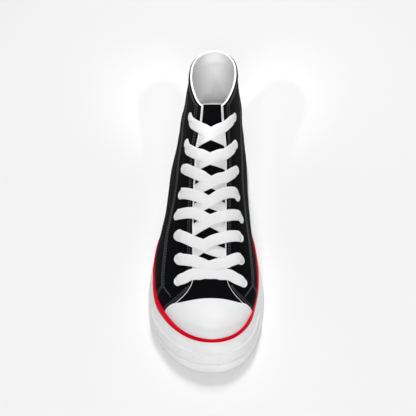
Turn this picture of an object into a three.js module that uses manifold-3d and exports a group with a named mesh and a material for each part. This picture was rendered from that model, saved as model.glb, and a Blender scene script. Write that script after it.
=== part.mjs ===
// High top sneaker for the right foot, in millimetres, standing on z = 0.
// "along" runs from the toe tip (0) to the heel, +x is the medial side, and "level" is a height share:
// 0 at the ground, 1 at the instep and 2 at the top of the shaft.
import * as THREE from "three";
import { mergeVertices } from "three/addons/utils/BufferGeometryUtils.js";
import Module from "manifold-3d";

const wasm = await Module();
wasm.setup();

// Driving sizes of the last
const length = 302;
const ballWidth = 110;
const instepHeight = 103;
const shaftHeight = 162;
const forefootFloor = 13.5;
const heelFloor = 17.5;
const toeSpring = 4.5;
const archRise = 1.2;
const heelBevel = 1.5;

// Sole
const wallHeight = 33;
const toeLean = 12;
const sideFlare = 5.2;
const heelLean = 2.2;
const rimWidth = 2.2;
const lugDepth = 1.6;
const lugPitch = 11;
const lugGroove = 2.6;
const lugBorder = 7;
const insoleThickness = 4;
const bumperThickness = 1.3;
const bumperProud = 0.5;
const ribProud = 0.6;
const stripeProud = 0.5;

// Upper
const wall = 2;
const quarterRaise = 0.9;
const backStayRaise = 1.7;
const backStayWidth = 16;
const capThickness = 1.3;
const tongueThickness = 3;
const tongueWidth = 60;
const throatReach = 15;
const gap = 0.3;
const tongueGap = 0.8;

// Eyelets and laces
const eyeletHole = 4.8;
const eyeletBarrel = 6;
const eyeletFlange = 8.4;
const flangeThickness = 0.8;
const laceWidth = 8.6;
const laceThickness = 1.4;
const laceClearance = 0.75;

// Colours
const CANVAS_BLACK = 0x0b0c0e;
const RUBBER_WHITE = 0xf1f2f3;
const STRIPE_RED = 0xd0021b;
const LACE_WHITE = 0xf4f4f4;
const LINING_WHITE = 0xe9eaec;

const halfBall = ballWidth / 2;
const lastHalf = halfBall - sideFlare - rimWidth;
const UNDER = null;
const UP = new THREE.Vector3(0, 1, 0);

// Sections of the last, from the toe to above the collar. Each is a plane across the shoe from a bottom
// point (back, low) to a ridge point (front, top). UNDER runs below the foot's floor. half, keel and
// ridge are shares of the half widths, belly is how far up the widest point is, under and over are the
// roundness below and above it, and twist is how late the section leans from keel to ridge.
const LAST_COLUMNS = ["back", "low", "front", "top", "half", "keel", "ridge", "belly", "under", "over",
  "twist"];
const LAST_ROWS = [
  [0.053, UNDER, 0.053, 0.476, 1.000, 0.156, 0.156, 0.5, 5.0, 2.5, 3],
  [0.099, UNDER, 0.099, 0.491, 1.000, 0.12, 0.149, 0.5, 5.0, 2.3, 3],
  [0.159, UNDER, 0.156, 0.532, 1.003, 0.071, 0.136, 0.48, 5.0, 2.05, 3],
  [0.232, UNDER, 0.219, 0.626, 1.005, 0.033, 0.12, 0.45, 4.6, 2.0, 3],
  [0.311, UNDER, 0.285, 0.752, 1.000, 0.009, 0.091, 0.42, 4.2, 1.95, 3],
  [0.397, UNDER, 0.348, 0.879, 0.985, -0.007, 0.076, 0.38, 4.0, 1.85, 3],
  [0.483, UNDER, 0.404, 1.0, 0.915, -0.02, 0.073, 0.36, 3.9, 1.8, 2.0],
  [0.576, UNDER, 0.454, 1.198, 0.840, -0.016, 0.076, 0.4, 3.6, 1.8, 1.4],
  [0.672, UNDER, 0.493, 1.373, 0.792, -0.02, 0.084, 0.46, 3.5, 1.8, 1.3],
  [0.768, UNDER, 0.526, 1.531, 0.766, -0.018, 0.091, 0.46, 3.4, 1.85, 1.2],
  [0.861, UNDER, 0.551, 1.661, 0.720, -0.02, 0.1, 0.49, 3.7, 1.9, 1],
  [0.939, 0.058, 0.57, 1.768, 0.682, -0.012, 0.109, 0.47, 3.4, 1.95, 1],
  [0.979, 0.214, 0.584, 1.864, 0.652, -0.002, 0.116, 0.45, 3.4, 2.0, 1],
  [0.985, 0.447, 0.598, 1.958, 0.610, 0.02, 0.124, 0.45, 3.1, 2.0, 1],
  [0.976, 0.699, 0.609, 2.047, 0.563, 0.069, 0.131, 0.45, 2.7, 2.05, 1],
  [0.962, 0.951, 0.619, 2.136, 0.522, 0.076, 0.136, 0.46, 2.3, 2.05, 1],
  [0.947, 1.322, 0.628, 2.22, 0.484, 0.098, 0.142, 0.48, 2.15, 2.05, 1],
  [0.937, 1.661, 0.636, 2.305, 0.463, 0.115, 0.145, 0.5, 2.1, 2.1, 1],
  [0.934, 1.966, 0.642, 2.39, 0.460, 0.124, 0.149, 0.5, 2.1, 2.1, 1],
];

// Stations of the sole, from toe to heel: centre and half width as shares of the half ball width, wall
// as a share of the wall height, and edge, how much of that wall the outsole takes.
const SOLE_COLUMNS = ["station", "centre", "half", "wall", "edge"];
const SOLE_ROWS = [
  [0, 0.156, 0.996, 1.07, 0.27],
  [0.05, 0.12, 0.996, 1.06, 0.24],
  [0.105, 0.08, 0.996, 1.03, 0.2],
  [0.17, 0.027, 0.996, 1.01, 0.175],
  [0.295, 0.006, 0.996, 1.0, 0.165],
  [0.338, -0.003, 0.996, 1.0, 0.165],
  [0.437, -0.013, 0.945, 0.985, 0.165],
  [0.507, -0.014, 0.87, 0.97, 0.165],
  [0.596, -0.01, 0.795, 0.955, 0.17],
  [0.682, -0.005, 0.757, 0.955, 0.18],
  [0.772, 0.003, 0.73, 0.97, 0.19],
  [0.861, 0.004, 0.71, 1.0, 0.2],
  [1, 0.006, 0.7, 1.03, 0.2],
];

// How the sole's wall leans in as it rises: shares of toeLean, sideFlare and heelLean.
const LEAN_COLUMNS = ["rise", "toe", "side", "heel"];
const LEAN_ROWS = [
  [0, 0.1, 0.2, 0.4],
  [0.05, 0, 0, 0],
  [0.27, 0.08, 0.12, 0.1],
  [0.63, 0.45, 0.55, 0.5],
  [0.87, 0.98, 0.97, 0.95],
  [1, 1.06, 1.05, 1.05],
];

const TOE_END = 0.321;
const TOE_ROUND = 2.15;
const HEEL_START = 0.861;
const HEEL_ROUND = 2.3;
const SPRING_END = 0.26;
const ARCH = [0.46, 0.7];
const HEEL_BEVEL_START = 0.95;
const STRIPE_START = 0.82;
const STRIPE_CREST = 0.9;
const BUMPER_TOP = 0.49;
const BUMPER_END = 0.21;
const SOLE_STATIONS = 20;
const SIDE_POINTS = 9;
const SLAB_STEPS = 30;
const COLLAR_STEPS = 16;
const KEEL_SINK = 14;

// The value of a column at x, on a smooth curve through the rows.
function smooth(xs, values, x) {
  let i = 0;
  while (i < xs.length - 2 && x > xs[i + 1]) i += 1;
  const slope = (k) => {
    const a = Math.max(k - 1, 0);
    const b = Math.min(k + 1, xs.length - 1);
    return (values[b] - values[a]) / (xs[b] - xs[a]);
  };
  const step = xs[i + 1] - xs[i];
  const t = THREE.MathUtils.clamp((x - xs[i]) / step, 0, 1);
  const rise = values[i + 1] - values[i];
  const first = slope(i) * step;
  const second = slope(i + 1) * step;
  const bend = (3 * rise - 2 * first - second) * t * t + (first + second - 2 * rise) * t * t * t;
  return values[i] + first * t + bend;
}

// A table as a function of its key column, which gives a record of the other columns.
function reader(columns, rows, keys) {
  const series = columns.map((_, c) => rows.map((row) => row[c]));
  return (x) => Object.fromEntries(columns.map((name, c) => [name, smooth(keys, series[c], x)]));
}

const firstColumn = (rows) => rows.map((row) => row[0]);
const soleAt = reader(SOLE_COLUMNS, SOLE_ROWS, firstColumn(SOLE_ROWS));

const leanShares = reader(LEAN_COLUMNS, LEAN_ROWS, firstColumn(LEAN_ROWS));

function leanAt(rise) {
  const row = leanShares(rise);
  return { toe: row.toe * toeLean, side: row.side * sideFlare, heel: row.heel * heelLean };
}

function heightOf(level) {
  if (level <= 1) return level * instepHeight;
  return instepHeight + (level - 1) * (shaftHeight - instepHeight);
}

// The underside of the sole: toe spring, arch and heel bevel.
function groundAt(along) {
  const share = along / length;
  const spring = share < SPRING_END ? toeSpring * (1 - share / SPRING_END) ** 2 : 0;
  const archShare = THREE.MathUtils.clamp((share - ARCH[0]) / (ARCH[1] - ARCH[0]), 0, 1);
  const arch = archRise * Math.sin(Math.PI * archShare) ** 2;
  const bevelShare = Math.max(0, (share - HEEL_BEVEL_START) / (1 - HEEL_BEVEL_START));
  return spring + arch + heelBevel * bevelShare ** 2;
}

// The top of the insole, and the floor of the midsole's tray below it.
function floorAt(along) {
  const drop = THREE.MathUtils.smoothstep(along / length, 0.4, 0.75);
  return THREE.MathUtils.lerp(forefootFloor, heelFloor, drop) + groundAt(Math.min(along, length * ARCH[0]));
}

const trayAt = (along) => floorAt(along) - insoleThickness - gap;

// How wide the outline is at a length, as a share of its full width, with a round toe and heel.
function outlineShare(along, tip, end) {
  const toeEnd = TOE_END * length;
  const heelStart = HEEL_START * length;
  const toe = THREE.MathUtils.clamp((toeEnd - along) / (toeEnd - tip), 0, 1);
  const heel = THREE.MathUtils.clamp((along - heelStart) / (end - heelStart), 0, 1);
  const toeShare = (1 - toe ** TOE_ROUND) ** (1 / TOE_ROUND);
  return toeShare * (1 - heel ** HEEL_ROUND) ** (1 / HEEL_ROUND);
}

// A closed skin over rings of points. A ring runs from its first point up one side to its last point
// and back down the other, so that its two sides pair off where an end is closed.
function skin(rings, closeFirst, closeLast) {
  const count = rings[0].length;
  const half = count / 2;
  const triangles = [];
  const at = (r, k) => r * count + ((k + count) % count);
  for (let r = 0; r + 1 < rings.length; r += 1) {
    for (let k = 0; k < count; k += 1) {
      triangles.push([at(r, k), at(r, k + 1), at(r + 1, k + 1)], [at(r, k), at(r + 1, k + 1), at(r + 1, k)]);
    }
  }
  const close = (r, flip) => {
    for (let k = 0; k < half; k += 1) {
      const quad = [at(r, k), at(r, -k), at(r, -k - 1), at(r, k + 1)];
      const pair = [[quad[0], quad[1], quad[2]], [quad[0], quad[2], quad[3]]];
      pair.forEach((t) => triangles.push(flip ? [t[0], t[2], t[1]] : t));
    }
  };
  if (closeFirst) close(0, false);
  if (closeLast) close(rings.length - 1, true);
  return solidFrom(rings.flat(), triangles);
}

// A solid from points and triangles: equal points are merged, and flat triangles dropped.
function solidFrom(points, triangles) {
  const flat = new Float32Array(points.flatMap((p) => [p.x, p.y, p.z]));
  const geometry = new THREE.BufferGeometry();
  geometry.setAttribute("position", new THREE.BufferAttribute(flat, 3));
  geometry.setIndex(triangles.flat());
  return solidOf(geometry);
}

function solidOf(geometry) {
  geometry.deleteAttribute("normal");
  geometry.deleteAttribute("uv");
  const merged = mergeVertices(geometry, 1e-4);
  const index = merged.index.array;
  const kept = [];
  for (let i = 0; i < index.length; i += 3) {
    const [a, b, c] = [index[i], index[i + 1], index[i + 2]];
    if (a !== b && b !== c && c !== a) kept.push(a, b, c);
  }
  const mesh = new wasm.Mesh({
    numProp: 3,
    vertProperties: new Float32Array(merged.attributes.position.array),
    triVerts: new Uint32Array(kept),
  });
  return new wasm.Manifold(mesh);
}

// A plate of one thickness in x, cut to a side view given as (along, height) points.
function sidePlate(points, fromX = -length, toX = length) {
  const outline = points.map(([along, height]) => new THREE.Vector2(along - length / 2, height));
  const shape = new THREE.Shape(outline);
  const geometry = new THREE.ExtrudeGeometry(shape, { depth: toX - fromX, bevelEnabled: false });
  const turn = new THREE.Matrix4().makeBasis(
    new THREE.Vector3(0, 1, 0),
    new THREE.Vector3(0, 0, 1),
    new THREE.Vector3(1, 0, 0),
  );
  geometry.applyMatrix4(turn);
  geometry.translate(fromX, 0, 0);
  return solidOf(geometry);
}

// What lies between two heights that follow the length of the shoe.
function sideSlab(lowAt, highAt, steps = SLAB_STEPS) {
  const reach = 0.1 * length;
  const stations = Array.from({ length: steps + 1 }, (_, i) => -reach + ((length + 2 * reach) * i) / steps);
  const bound = (along) => THREE.MathUtils.clamp(along, 0, length);
  const low = stations.map((along) => [along, lowAt(bound(along))]);
  const high = stations.map((along) => [along, highAt(bound(along))]);
  return sidePlate([...low, ...high.reverse()]);
}

// The last, grown outwards by an offset: every form of the upper is cut between two of these.
const lastNumbers = LAST_ROWS.map(([back, low, front, top, ...rest]) => [
  back * length,
  low === UNDER ? floorAt(back * length) - KEEL_SINK : heightOf(low),
  front * length,
  heightOf(top),
  ...rest,
]);
const lastReader = reader(LAST_COLUMNS, lastNumbers, LAST_ROWS.map((_, i) => i));
const LAST_TOP = LAST_ROWS.length - 1;
const TOE_NOSE = 16;
const NOSE_LEVEL = 0.3;
const NOSE_ROUND = 2.4;
const TOE_SECTIONS = 9;

function section(t, offset) {
  const row = lastReader(t);
  const rowTip = lastNumbers[0][0];
  const tip = toeLean + rimWidth - offset;
  const toeEnd = TOE_END * length;
  const shift = (a) => (a < toeEnd ? toeEnd - ((toeEnd - a) * (toeEnd - tip)) / (toeEnd - rowTip) : a);
  const back = shift(row.back);
  const front = shift(row.front);
  const nose = THREE.MathUtils.clamp(1 - (front - tip) / TOE_NOSE, 0, 1);
  const noseShare = (1 - nose ** NOSE_ROUND) ** (1 / NOSE_ROUND);
  const noseHeight = NOSE_LEVEL * instepHeight;
  const top = noseHeight + (row.top - noseHeight) * noseShare;
  const span = new THREE.Vector2(front - back, top - row.low);
  const lift = span.clone().normalize().multiplyScalar(offset);
  const rounding = t < TOE_SECTIONS ? outlineShare(back, tip, 2 * length) : 1;
  const widest = (row.half * lastHalf + offset) * rounding;
  return {
    low: new THREE.Vector3(row.keel * halfBall, back - lift.x, row.low - lift.y),
    top: new THREE.Vector3(row.ridge * halfBall, front + lift.x, top + lift.y),
    widest,
    belly: row.belly,
    under: row.under,
    over: row.over,
    twist: row.twist,
  };
}

// A point of a section: share runs from 0 at its bottom to 1 at its ridge, side is -1 lateral, 1 medial.
function sectionPoint(cut, share, side) {
  const angle = Math.PI * share;
  const power = 2 / (share < 0.5 ? cut.under : cut.over);
  const out = Math.max(Math.sin(angle), 0) ** power;
  const up = Math.abs(Math.cos(angle)) ** power;
  const rise = share < 0.5 ? cut.belly * (1 - up) : cut.belly + (1 - cut.belly) * up;
  const p = cut.low.clone().lerp(cut.top, rise);
  const centre = cut.low.x + (cut.top.x - cut.low.x) * rise ** cut.twist;
  const x = share <= 0 || share >= 1 ? centre : centre + side * cut.widest * out;
  return new THREE.Vector3(x, p.y - length / 2, p.z);
}

const TOE_STEPS = 4;
const lastStations = [];
for (let k = 0; k < TOE_STEPS; k += 1) {
  lastStations.push(2 * (1 - Math.cos((Math.PI * k) / (2 * TOE_STEPS))));
}
for (let t = 2; t <= LAST_TOP; t += 1) lastStations.push(t);

function last(offset) {
  const rings = lastStations.map((t) => {
    const cut = section(t, offset);
    const shares = Array.from({ length: SIDE_POINTS + 1 }, (_, j) => j / SIDE_POINTS);
    const side = (sign) => shares.map((share) => sectionPoint(cut, share, sign));
    return [...side(-1), ...side(1).slice(1, -1).reverse()];
  });
  return skin(rings, false, true);
}

// A band that follows the ridge of the last, between two of its sections: widthAt gives its half width.
function ridgeBand(from, to, widthAt, above, below) {
  const steps = Math.ceil(to - from);
  const rings = Array.from({ length: steps + 1 }, (_, i) => {
    const t = THREE.MathUtils.lerp(from, to, i / steps);
    const cut = section(t, 0);
    const up = cut.top.clone().sub(cut.low).setX(0).normalize();
    const half = widthAt(t);
    const corner = (side, depth) => cut.top.clone().addScaledVector(up, depth).add(
      new THREE.Vector3(side * half, -length / 2, 0));
    return [corner(-1, -below), corner(-1, above), corner(1, above), corner(1, -below)];
  });
  return skin(rings, true, true);
}

// One ring of the sole's outline. rise is a share of the wall, proud moves it outwards.
function soleRing(riseAt, proud, lift) {
  const point = (k, side) => {
    const share = (1 - Math.cos((Math.PI * k) / SOLE_STATIONS)) / 2;
    const row = soleAt(share);
    const rise = riseAt(row);
    const lean = leanAt(rise);
    const tip = lean.toe - proud;
    const end = length - lean.heel + proud;
    const along = THREE.MathUtils.lerp(tip, end, share);
    const width = (row.half * halfBall - lean.side + proud) * outlineShare(along, tip, end);
    const height = groundAt(THREE.MathUtils.clamp(along, 0, length)) + rise * row.wall * wallHeight;
    return new THREE.Vector3(row.centre * halfBall + side * width, along - length / 2, height + lift);
  };
  const ring = [];
  for (let k = 0; k <= SOLE_STATIONS; k += 1) ring.push(point(k, k % SOLE_STATIONS ? 1 : 0));
  for (let k = SOLE_STATIONS - 1; k > 0; k -= 1) ring.push(point(k, -1));
  return ring;
}

const outsoleRise = (share) => (row) => row.edge * share;
const wallRise = (share) => (row) => row.edge + (1 - row.edge) * share;

// A slice of the sole from rings given as [rise, proud, lift].
function soleSlice(levels) {
  return skin(levels.map(([rise, proud, lift]) => soleRing(rise, proud, lift)), true, true);
}

// The top of the sole's wall, all round
function rimTopAt(along) {
  const lean = leanAt(1);
  const share = THREE.MathUtils.clamp((along - lean.toe) / (length - lean.toe - lean.heel), 0, 1);
  return groundAt(along) + soleAt(share).wall * wallHeight;
}

const HIGH = 2 * shaftHeight;
const aboveTray = sideSlab((a) => trayAt(a), () => HIGH);
const aboveRim = sideSlab((a) => rimTopAt(a) + gap, () => HIGH);

// Outsole with cross grooves between its lugs, at the forefoot and the heel
function lugGrooves() {
  const zones = [[0.1, 0.45], [0.72, 0.96]];
  const grooves = [];
  const teeth = 4;
  zones.forEach(([from, to]) => {
    for (let along = from * length; along <= to * length; along += lugPitch) {
      const edge = (shift) => Array.from({ length: teeth + 1 }, (_, i) => new THREE.Vector2(
        -halfBall + (ballWidth * i) / teeth,
        along - length / 2 + (i % 2 ? lugPitch / 4 : -lugPitch / 4) + shift,
      ));
      const outline = new THREE.Shape([...edge(-lugGroove / 2), ...edge(lugGroove / 2).reverse()]);
      const geometry = new THREE.ExtrudeGeometry(outline, { depth: 2 * lugDepth, bevelEnabled: false });
      geometry.translate(0, 0, groundAt(along) - lugDepth);
      grooves.push(solidOf(geometry));
    }
  });
  const all = grooves.reduce((sum, groove) => sum.add(groove));
  return all.intersect(soleSlice([[() => 0, -lugBorder, -toeSpring], [() => 0.2, -lugBorder, 0]]));
}

function outsole() {
  const block = soleSlice([
    [outsoleRise(0), 0, 0],
    [outsoleRise(0.22), 0, 0],
    [outsoleRise(1), 0, 0],
  ]);
  return block.subtract(lugGrooves());
}

// The band round the toe: a rib along each edge, and a flat between them that carries the texture
function bumperSlice(inside, extra) {
  const outer = (share, proud) => [wallRise(share), proud, 0];
  const margin = extra / wallHeight;
  const body = extra
    ? soleSlice([outer(-margin, extra + ribProud * 4), outer(BUMPER_TOP + margin, extra + ribProud * 4)])
    : soleSlice([
      outer(0.02, bumperProud),
      outer(0.04, bumperProud + ribProud),
      outer(0.09, bumperProud + ribProud),
      outer(0.11, bumperProud),
      outer(BUMPER_TOP - 0.09, bumperProud),
      outer(BUMPER_TOP - 0.07, bumperProud + ribProud),
      outer(BUMPER_TOP - 0.02, bumperProud + ribProud),
      outer(BUMPER_TOP, bumperProud - 0.2),
    ]);
  const core = soleSlice([outer(-0.1, inside), outer(BUMPER_TOP + 0.1, inside)]);
  const end = BUMPER_END * length + extra;
  const front = sidePlate([[-length, -HIGH], [end, -HIGH], [end, HIGH], [-length, HIGH]]);
  return body.subtract(core).intersect(front);
}

function toeBumper() {
  return bumperSlice(bumperProud - bumperThickness, 0);
}

function midsole() {
  const block = soleSlice([
    [wallRise(0), 0, gap],
    [wallRise(0.25), 0, 0],
    [wallRise(BUMPER_TOP), 0, 0],
    [wallRise(0.66), 0, 0],
    [wallRise(STRIPE_START), 0, -gap],
  ]);
  const seat = bumperSlice(bumperProud - bumperThickness - gap, gap);
  return block.subtract(last(gap).intersect(aboveTray)).subtract(seat);
}

// The red line is the top band of the sidewall
function foxingStripe() {
  const band = soleSlice([
    [wallRise(STRIPE_START), 0, 0],
    [wallRise(STRIPE_CREST), stripeProud, 0],
    [wallRise(1), 0, 0],
  ]);
  return band.subtract(last(gap));
}

function insole() {
  const bed = sideSlab((a) => trayAt(a) + gap, (a) => floorAt(a));
  return last(-wall - gap).intersect(bed);
}

// Side view lines of the upper, as shares of the length and levels
const QUARTER_FRONT = [[0.171, 0.2], [0.171, 0.49], [0.19, 0.54], [0.212, 0.58], [0.238, 0.66],
  [0.26, 0.8]];
const QUARTER_TOP = 0.3;
const CAP_REAR = [[0.169, 0.43], [0.161, 0.47], [0.153, 0.51], [0.153, 0.7]];
const COLLAR = [[0.5, 2.06], [0.6, 2.03], [0.634, 2.0], [0.69, 2.01], [0.75, 2.01], [0.83, 1.97],
  [0.89, 1.9], [0.935, 1.85], [1.05, 1.82]];

const sidePoint = ([share, level]) => [share * length, heightOf(level)];

const THROAT_START = 3.1;
const TONGUE_START = 2.8;
const TONGUE_END = 14.4;
const THROAT_WIDTHS = [[3, 16], [8, 16], [10, 14.5], [12, 12.8], [14, 11], [16, 10.4], [18, 10.4]];

function throatHalf(t) {
  return smooth(firstColumn(THROAT_WIDTHS), THROAT_WIDTHS.map((row) => row[1]), t);
}

function backStay() {
  const lean = (z) => THREE.MathUtils.lerp(-0.01, 0.125, z / shaftHeight) * halfBall;
  const half = backStayWidth / 2;
  const shape = new THREE.Shape([
    new THREE.Vector2(lean(0) - half, 0),
    new THREE.Vector2(lean(0) + half, 0),
    new THREE.Vector2(lean(HIGH) + half, HIGH),
    new THREE.Vector2(lean(HIGH) - half, HIGH),
  ]);
  const geometry = new THREE.ExtrudeGeometry(shape, { depth: length / 4, bevelEnabled: false });
  geometry.rotateX(Math.PI / 2);
  geometry.translate(0, length * 0.55, 0);
  return last(backStayRaise).intersect(solidOf(geometry)).intersect(aboveRim);
}

function upper() {
  const [base] = QUARTER_FRONT;
  const behind = sidePlate([
    ...QUARTER_FRONT.map(sidePoint),
    [QUARTER_TOP * length, HIGH],
    [2 * length, HIGH],
    [2 * length, -HIGH],
    [base[0] * length, -HIGH],
  ]);
  const quarters = last(quarterRaise).intersect(behind).intersect(aboveRim);
  const collarLine = new THREE.SplineCurve(COLLAR.map((p) => new THREE.Vector2(...sidePoint(p))));
  const collar = collarLine.getPoints(COLLAR_STEPS).map((p) => [p.x, p.y]);
  const aboveCollar = sidePlate([...collar, [1.05 * length, HIGH], [0.5 * length, HIGH]]);
  const throat = ridgeBand(THROAT_START, LAST_TOP, throatHalf, throatReach, throatReach);
  return last(0)
    .add(quarters)
    .add(backStay())
    .subtract(last(-wall))
    .intersect(aboveTray.translate([0, 0, gap]))
    .subtract(aboveCollar)
    .subtract(throat)
    .subtract(bothSides(eyeletBore).reduce((sum, bore) => sum.add(bore)));
}

function toeCap() {
  const [base] = QUARTER_FRONT;
  const [highest] = CAP_REAR.slice(-1);
  const front = sidePlate([
    [-length, -HIGH],
    [base[0] * length - gap, -HIGH],
    ...CAP_REAR.map(sidePoint),
    [highest[0] * length, HIGH],
    [-length, HIGH],
  ]);
  return last(capThickness + gap).subtract(last(gap)).intersect(front).intersect(aboveRim);
}

function tongue() {
  const outside = -wall - tongueGap;
  const band = ridgeBand(TONGUE_START, TONGUE_END, () => tongueWidth / 2, wall, tongueWidth / 2);
  return last(outside).subtract(last(outside - tongueThickness)).intersect(band);
}

// Eyelet rows: the section of the last that each lies on, and how far from the ridge, as a share of
// the half ball width.
const EYELET_ROWS = [
  [2.98, 0.54],
  [3.85, 0.52],
  [4.85, 0.527],
  [5.85, 0.54],
  [6.8, 0.477],
  [8.24, 0.449],
  [10.05, 0.417],
  [12.83, 0.376],
];

// The point of the upper's surface, grown by an offset, that lies out from the ridge by a signed x.
function surfacePoint(t, x, offset) {
  const cut = section(t, offset);
  const power = cut.over / 2;
  let out = x;
  let point = cut.top;
  for (let i = 0; i < 5; i += 1) {
    const angle = Math.PI - Math.asin(Math.min(Math.abs(out) / cut.widest, 1) ** power);
    point = sectionPoint(cut, angle / Math.PI, Math.sign(out) || 1);
    out += cut.top.x + x - point.x;
  }
  return point;
}

function surfaceNormal(t, x, offset) {
  const step = 0.02;
  const alongRidge = surfacePoint(t + step, x, offset).sub(surfacePoint(t - step, x, offset));
  const across = surfacePoint(t, x + 1, offset).sub(surfacePoint(t, x - 1, offset));
  return across.cross(alongRidge).normalize();
}

// A turned piece set on the quarter's surface at an eyelet.
function setOnQuarter(geometry, [t, spread], side) {
  const x = side * spread * halfBall;
  const seat = surfacePoint(t, x, quarterRaise);
  geometry.applyQuaternion(new THREE.Quaternion().setFromUnitVectors(UP, surfaceNormal(t, x, quarterRaise)));
  geometry.translate(seat.x, seat.y, seat.z);
  return solidOf(geometry);
}

const EYELET_SIDES = 8;
const throughWall = wall + quarterRaise;

function eyelet(row, side) {
  const top = gap + flangeThickness;
  const profile = [
    [eyeletHole / 2, -throughWall],
    [eyeletBarrel / 2, -throughWall],
    [eyeletBarrel / 2, gap],
    [eyeletFlange / 2, gap],
    [eyeletFlange / 2 - 0.3, top],
    [eyeletHole / 2, top],
    [eyeletHole / 2, -throughWall],
  ];
  const points = profile.map(([r, h]) => new THREE.Vector2(r, h));
  return setOnQuarter(new THREE.LatheGeometry(points, EYELET_SIDES), row, side);
}

function eyeletBore(row, side) {
  const radius = eyeletBarrel / 2 + gap;
  return setOnQuarter(new THREE.CylinderGeometry(radius, radius, 4 * throughWall, EYELET_SIDES), row, side);
}

const bothSides = (make) => EYELET_ROWS.flatMap((row) => [make(row, -1), make(row, 1)]);

const STRAND_STEPS = 5;
const BAR_STEPS = 6;
const BAR_ARCH = 0.2;

// A flat lace over the surface, through points given as [section, signed x].
function strand(pathAt, steps = STRAND_STEPS) {
  const low = quarterRaise + gap + flangeThickness + laceClearance;
  const places = Array.from({ length: steps + 1 }, (_, i) => pathAt(i / steps));
  const points = places.map(([t, x]) => surfacePoint(t, x, low));
  const rings = points.map((point, i) => {
    const [t, x] = places[i];
    const before = points[Math.max(i - 1, 0)];
    const after = points[Math.min(i + 1, steps)];
    const up = surfaceNormal(t, x, low);
    const side = up.clone().cross(after.clone().sub(before)).normalize().multiplyScalar(laceWidth / 2);
    const raised = point.clone().addScaledVector(up, laceThickness);
    return [point.clone().add(side), raised.clone().add(side), raised.sub(side), point.clone().sub(side)];
  });
  return skin(rings, true, true);
}

// One bar across the bottom row, then two crossing strands from each row to the next
function laces() {
  const [first] = EYELET_ROWS;
  const reach = first[1] * halfBall;
  const pieces = [strand((k) => {
    const x = THREE.MathUtils.lerp(-reach, reach, k);
    return [first[0] + BAR_ARCH * (1 - (x / reach) ** 2), x];
  }, BAR_STEPS)];
  EYELET_ROWS.slice(1).forEach(([t, spread], i) => {
    const from = EYELET_ROWS[i][0];
    [-1, 1].forEach((side) => {
      const start = -side * (throatHalf(from) + laceWidth / 4);
      pieces.push(strand((k) => [
        THREE.MathUtils.lerp(from + (i ? 0 : BAR_ARCH), t, k),
        THREE.MathUtils.lerp(start, side * spread * halfBall, k),
      ]));
    });
  });
  return pieces.reduce((sum, piece) => sum.add(piece));
}

// Materials and nodes
function finish(color, roughness) {
  return new THREE.MeshStandardMaterial({ color, roughness, metalness: 0 });
}

function meshOf(name, solid, material) {
  const made = solid.getMesh();
  const geometry = new THREE.BufferGeometry();
  geometry.setAttribute("position", new THREE.BufferAttribute(made.vertProperties, 3));
  geometry.setIndex(new THREE.BufferAttribute(made.triVerts, 1));
  const mesh = new THREE.Mesh(geometry, material);
  mesh.name = name;
  return mesh;
}

const group = new THREE.Group();
group.add(
  meshOf("outsole", outsole(), finish(RUBBER_WHITE, 0.6)),
  meshOf("midsole", midsole(), finish(RUBBER_WHITE, 0.5)),
  meshOf("foxing_stripe", foxingStripe(), finish(STRIPE_RED, 0.45)),
  meshOf("toe_bumper", toeBumper(), finish(RUBBER_WHITE, 0.6)),
  meshOf("insole", insole(), finish(LINING_WHITE, 0.9)),
  meshOf("upper", upper(), finish(CANVAS_BLACK, 0.9)),
  meshOf("toe_cap", toeCap(), finish(RUBBER_WHITE, 0.4)),
  meshOf("tongue", tongue(), finish(CANVAS_BLACK, 0.9)),
  meshOf("laces", laces(), finish(LACE_WHITE, 0.85)),
);
EYELET_ROWS.forEach((row, i) => {
  const enamel = finish(RUBBER_WHITE, 0.4);
  group.add(meshOf(`eyelet_lateral_${i + 1}`, eyelet(row, -1), enamel));
  group.add(meshOf(`eyelet_medial_${i + 1}`, eyelet(row, 1), enamel));
});

export default group;
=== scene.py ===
"""High top sneaker, right shoe: canvas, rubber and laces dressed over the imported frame."""

import functools
import math

import bpy
from mathutils import Matrix, Vector


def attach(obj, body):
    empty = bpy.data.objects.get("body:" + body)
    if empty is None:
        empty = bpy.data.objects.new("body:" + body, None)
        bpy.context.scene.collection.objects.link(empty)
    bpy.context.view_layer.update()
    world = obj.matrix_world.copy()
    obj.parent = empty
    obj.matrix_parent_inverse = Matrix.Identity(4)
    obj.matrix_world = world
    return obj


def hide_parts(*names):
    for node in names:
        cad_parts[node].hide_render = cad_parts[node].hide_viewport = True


bl_info = {
    "name": "High top sneaker",
    "version": (1, 0, 0),
    "blender": (4, 5, 0),
    "location": "View3D > Sidebar > Sneaker",
    "description": "Builds the canvas, rubber, laces and stitching of one high top sneaker",
    "category": "Object",
}

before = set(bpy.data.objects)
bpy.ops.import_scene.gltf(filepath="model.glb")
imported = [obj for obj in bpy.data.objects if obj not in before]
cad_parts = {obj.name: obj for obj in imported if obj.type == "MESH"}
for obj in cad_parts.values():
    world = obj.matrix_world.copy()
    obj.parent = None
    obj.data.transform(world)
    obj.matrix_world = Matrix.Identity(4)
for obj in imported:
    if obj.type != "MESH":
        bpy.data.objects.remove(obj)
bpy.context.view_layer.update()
MM = 0.001

# Driving sizes of the last and the sole, in millimetres, as in the solids
LENGTH = 302.0
HALF_BALL = 55.0
INSTEP_HEIGHT = 103.0
SHAFT_HEIGHT = 162.0
FOREFOOT_FLOOR = 13.5
HEEL_FLOOR = 17.5
TOE_SPRING = 4.5
ARCH_RISE = 1.2
ARCH_START = 0.46
HEEL_BEVEL = 1.5
WALL_HEIGHT = 33.0
TOE_LEAN = 12.0
SIDE_FLARE = 5.2
HEEL_LEAN = 2.2
RIM_WIDTH = 2.2
LAST_HALF = HALF_BALL - SIDE_FLARE - RIM_WIDTH
KEEL_SINK = 14.0
UNDER = None

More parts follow.
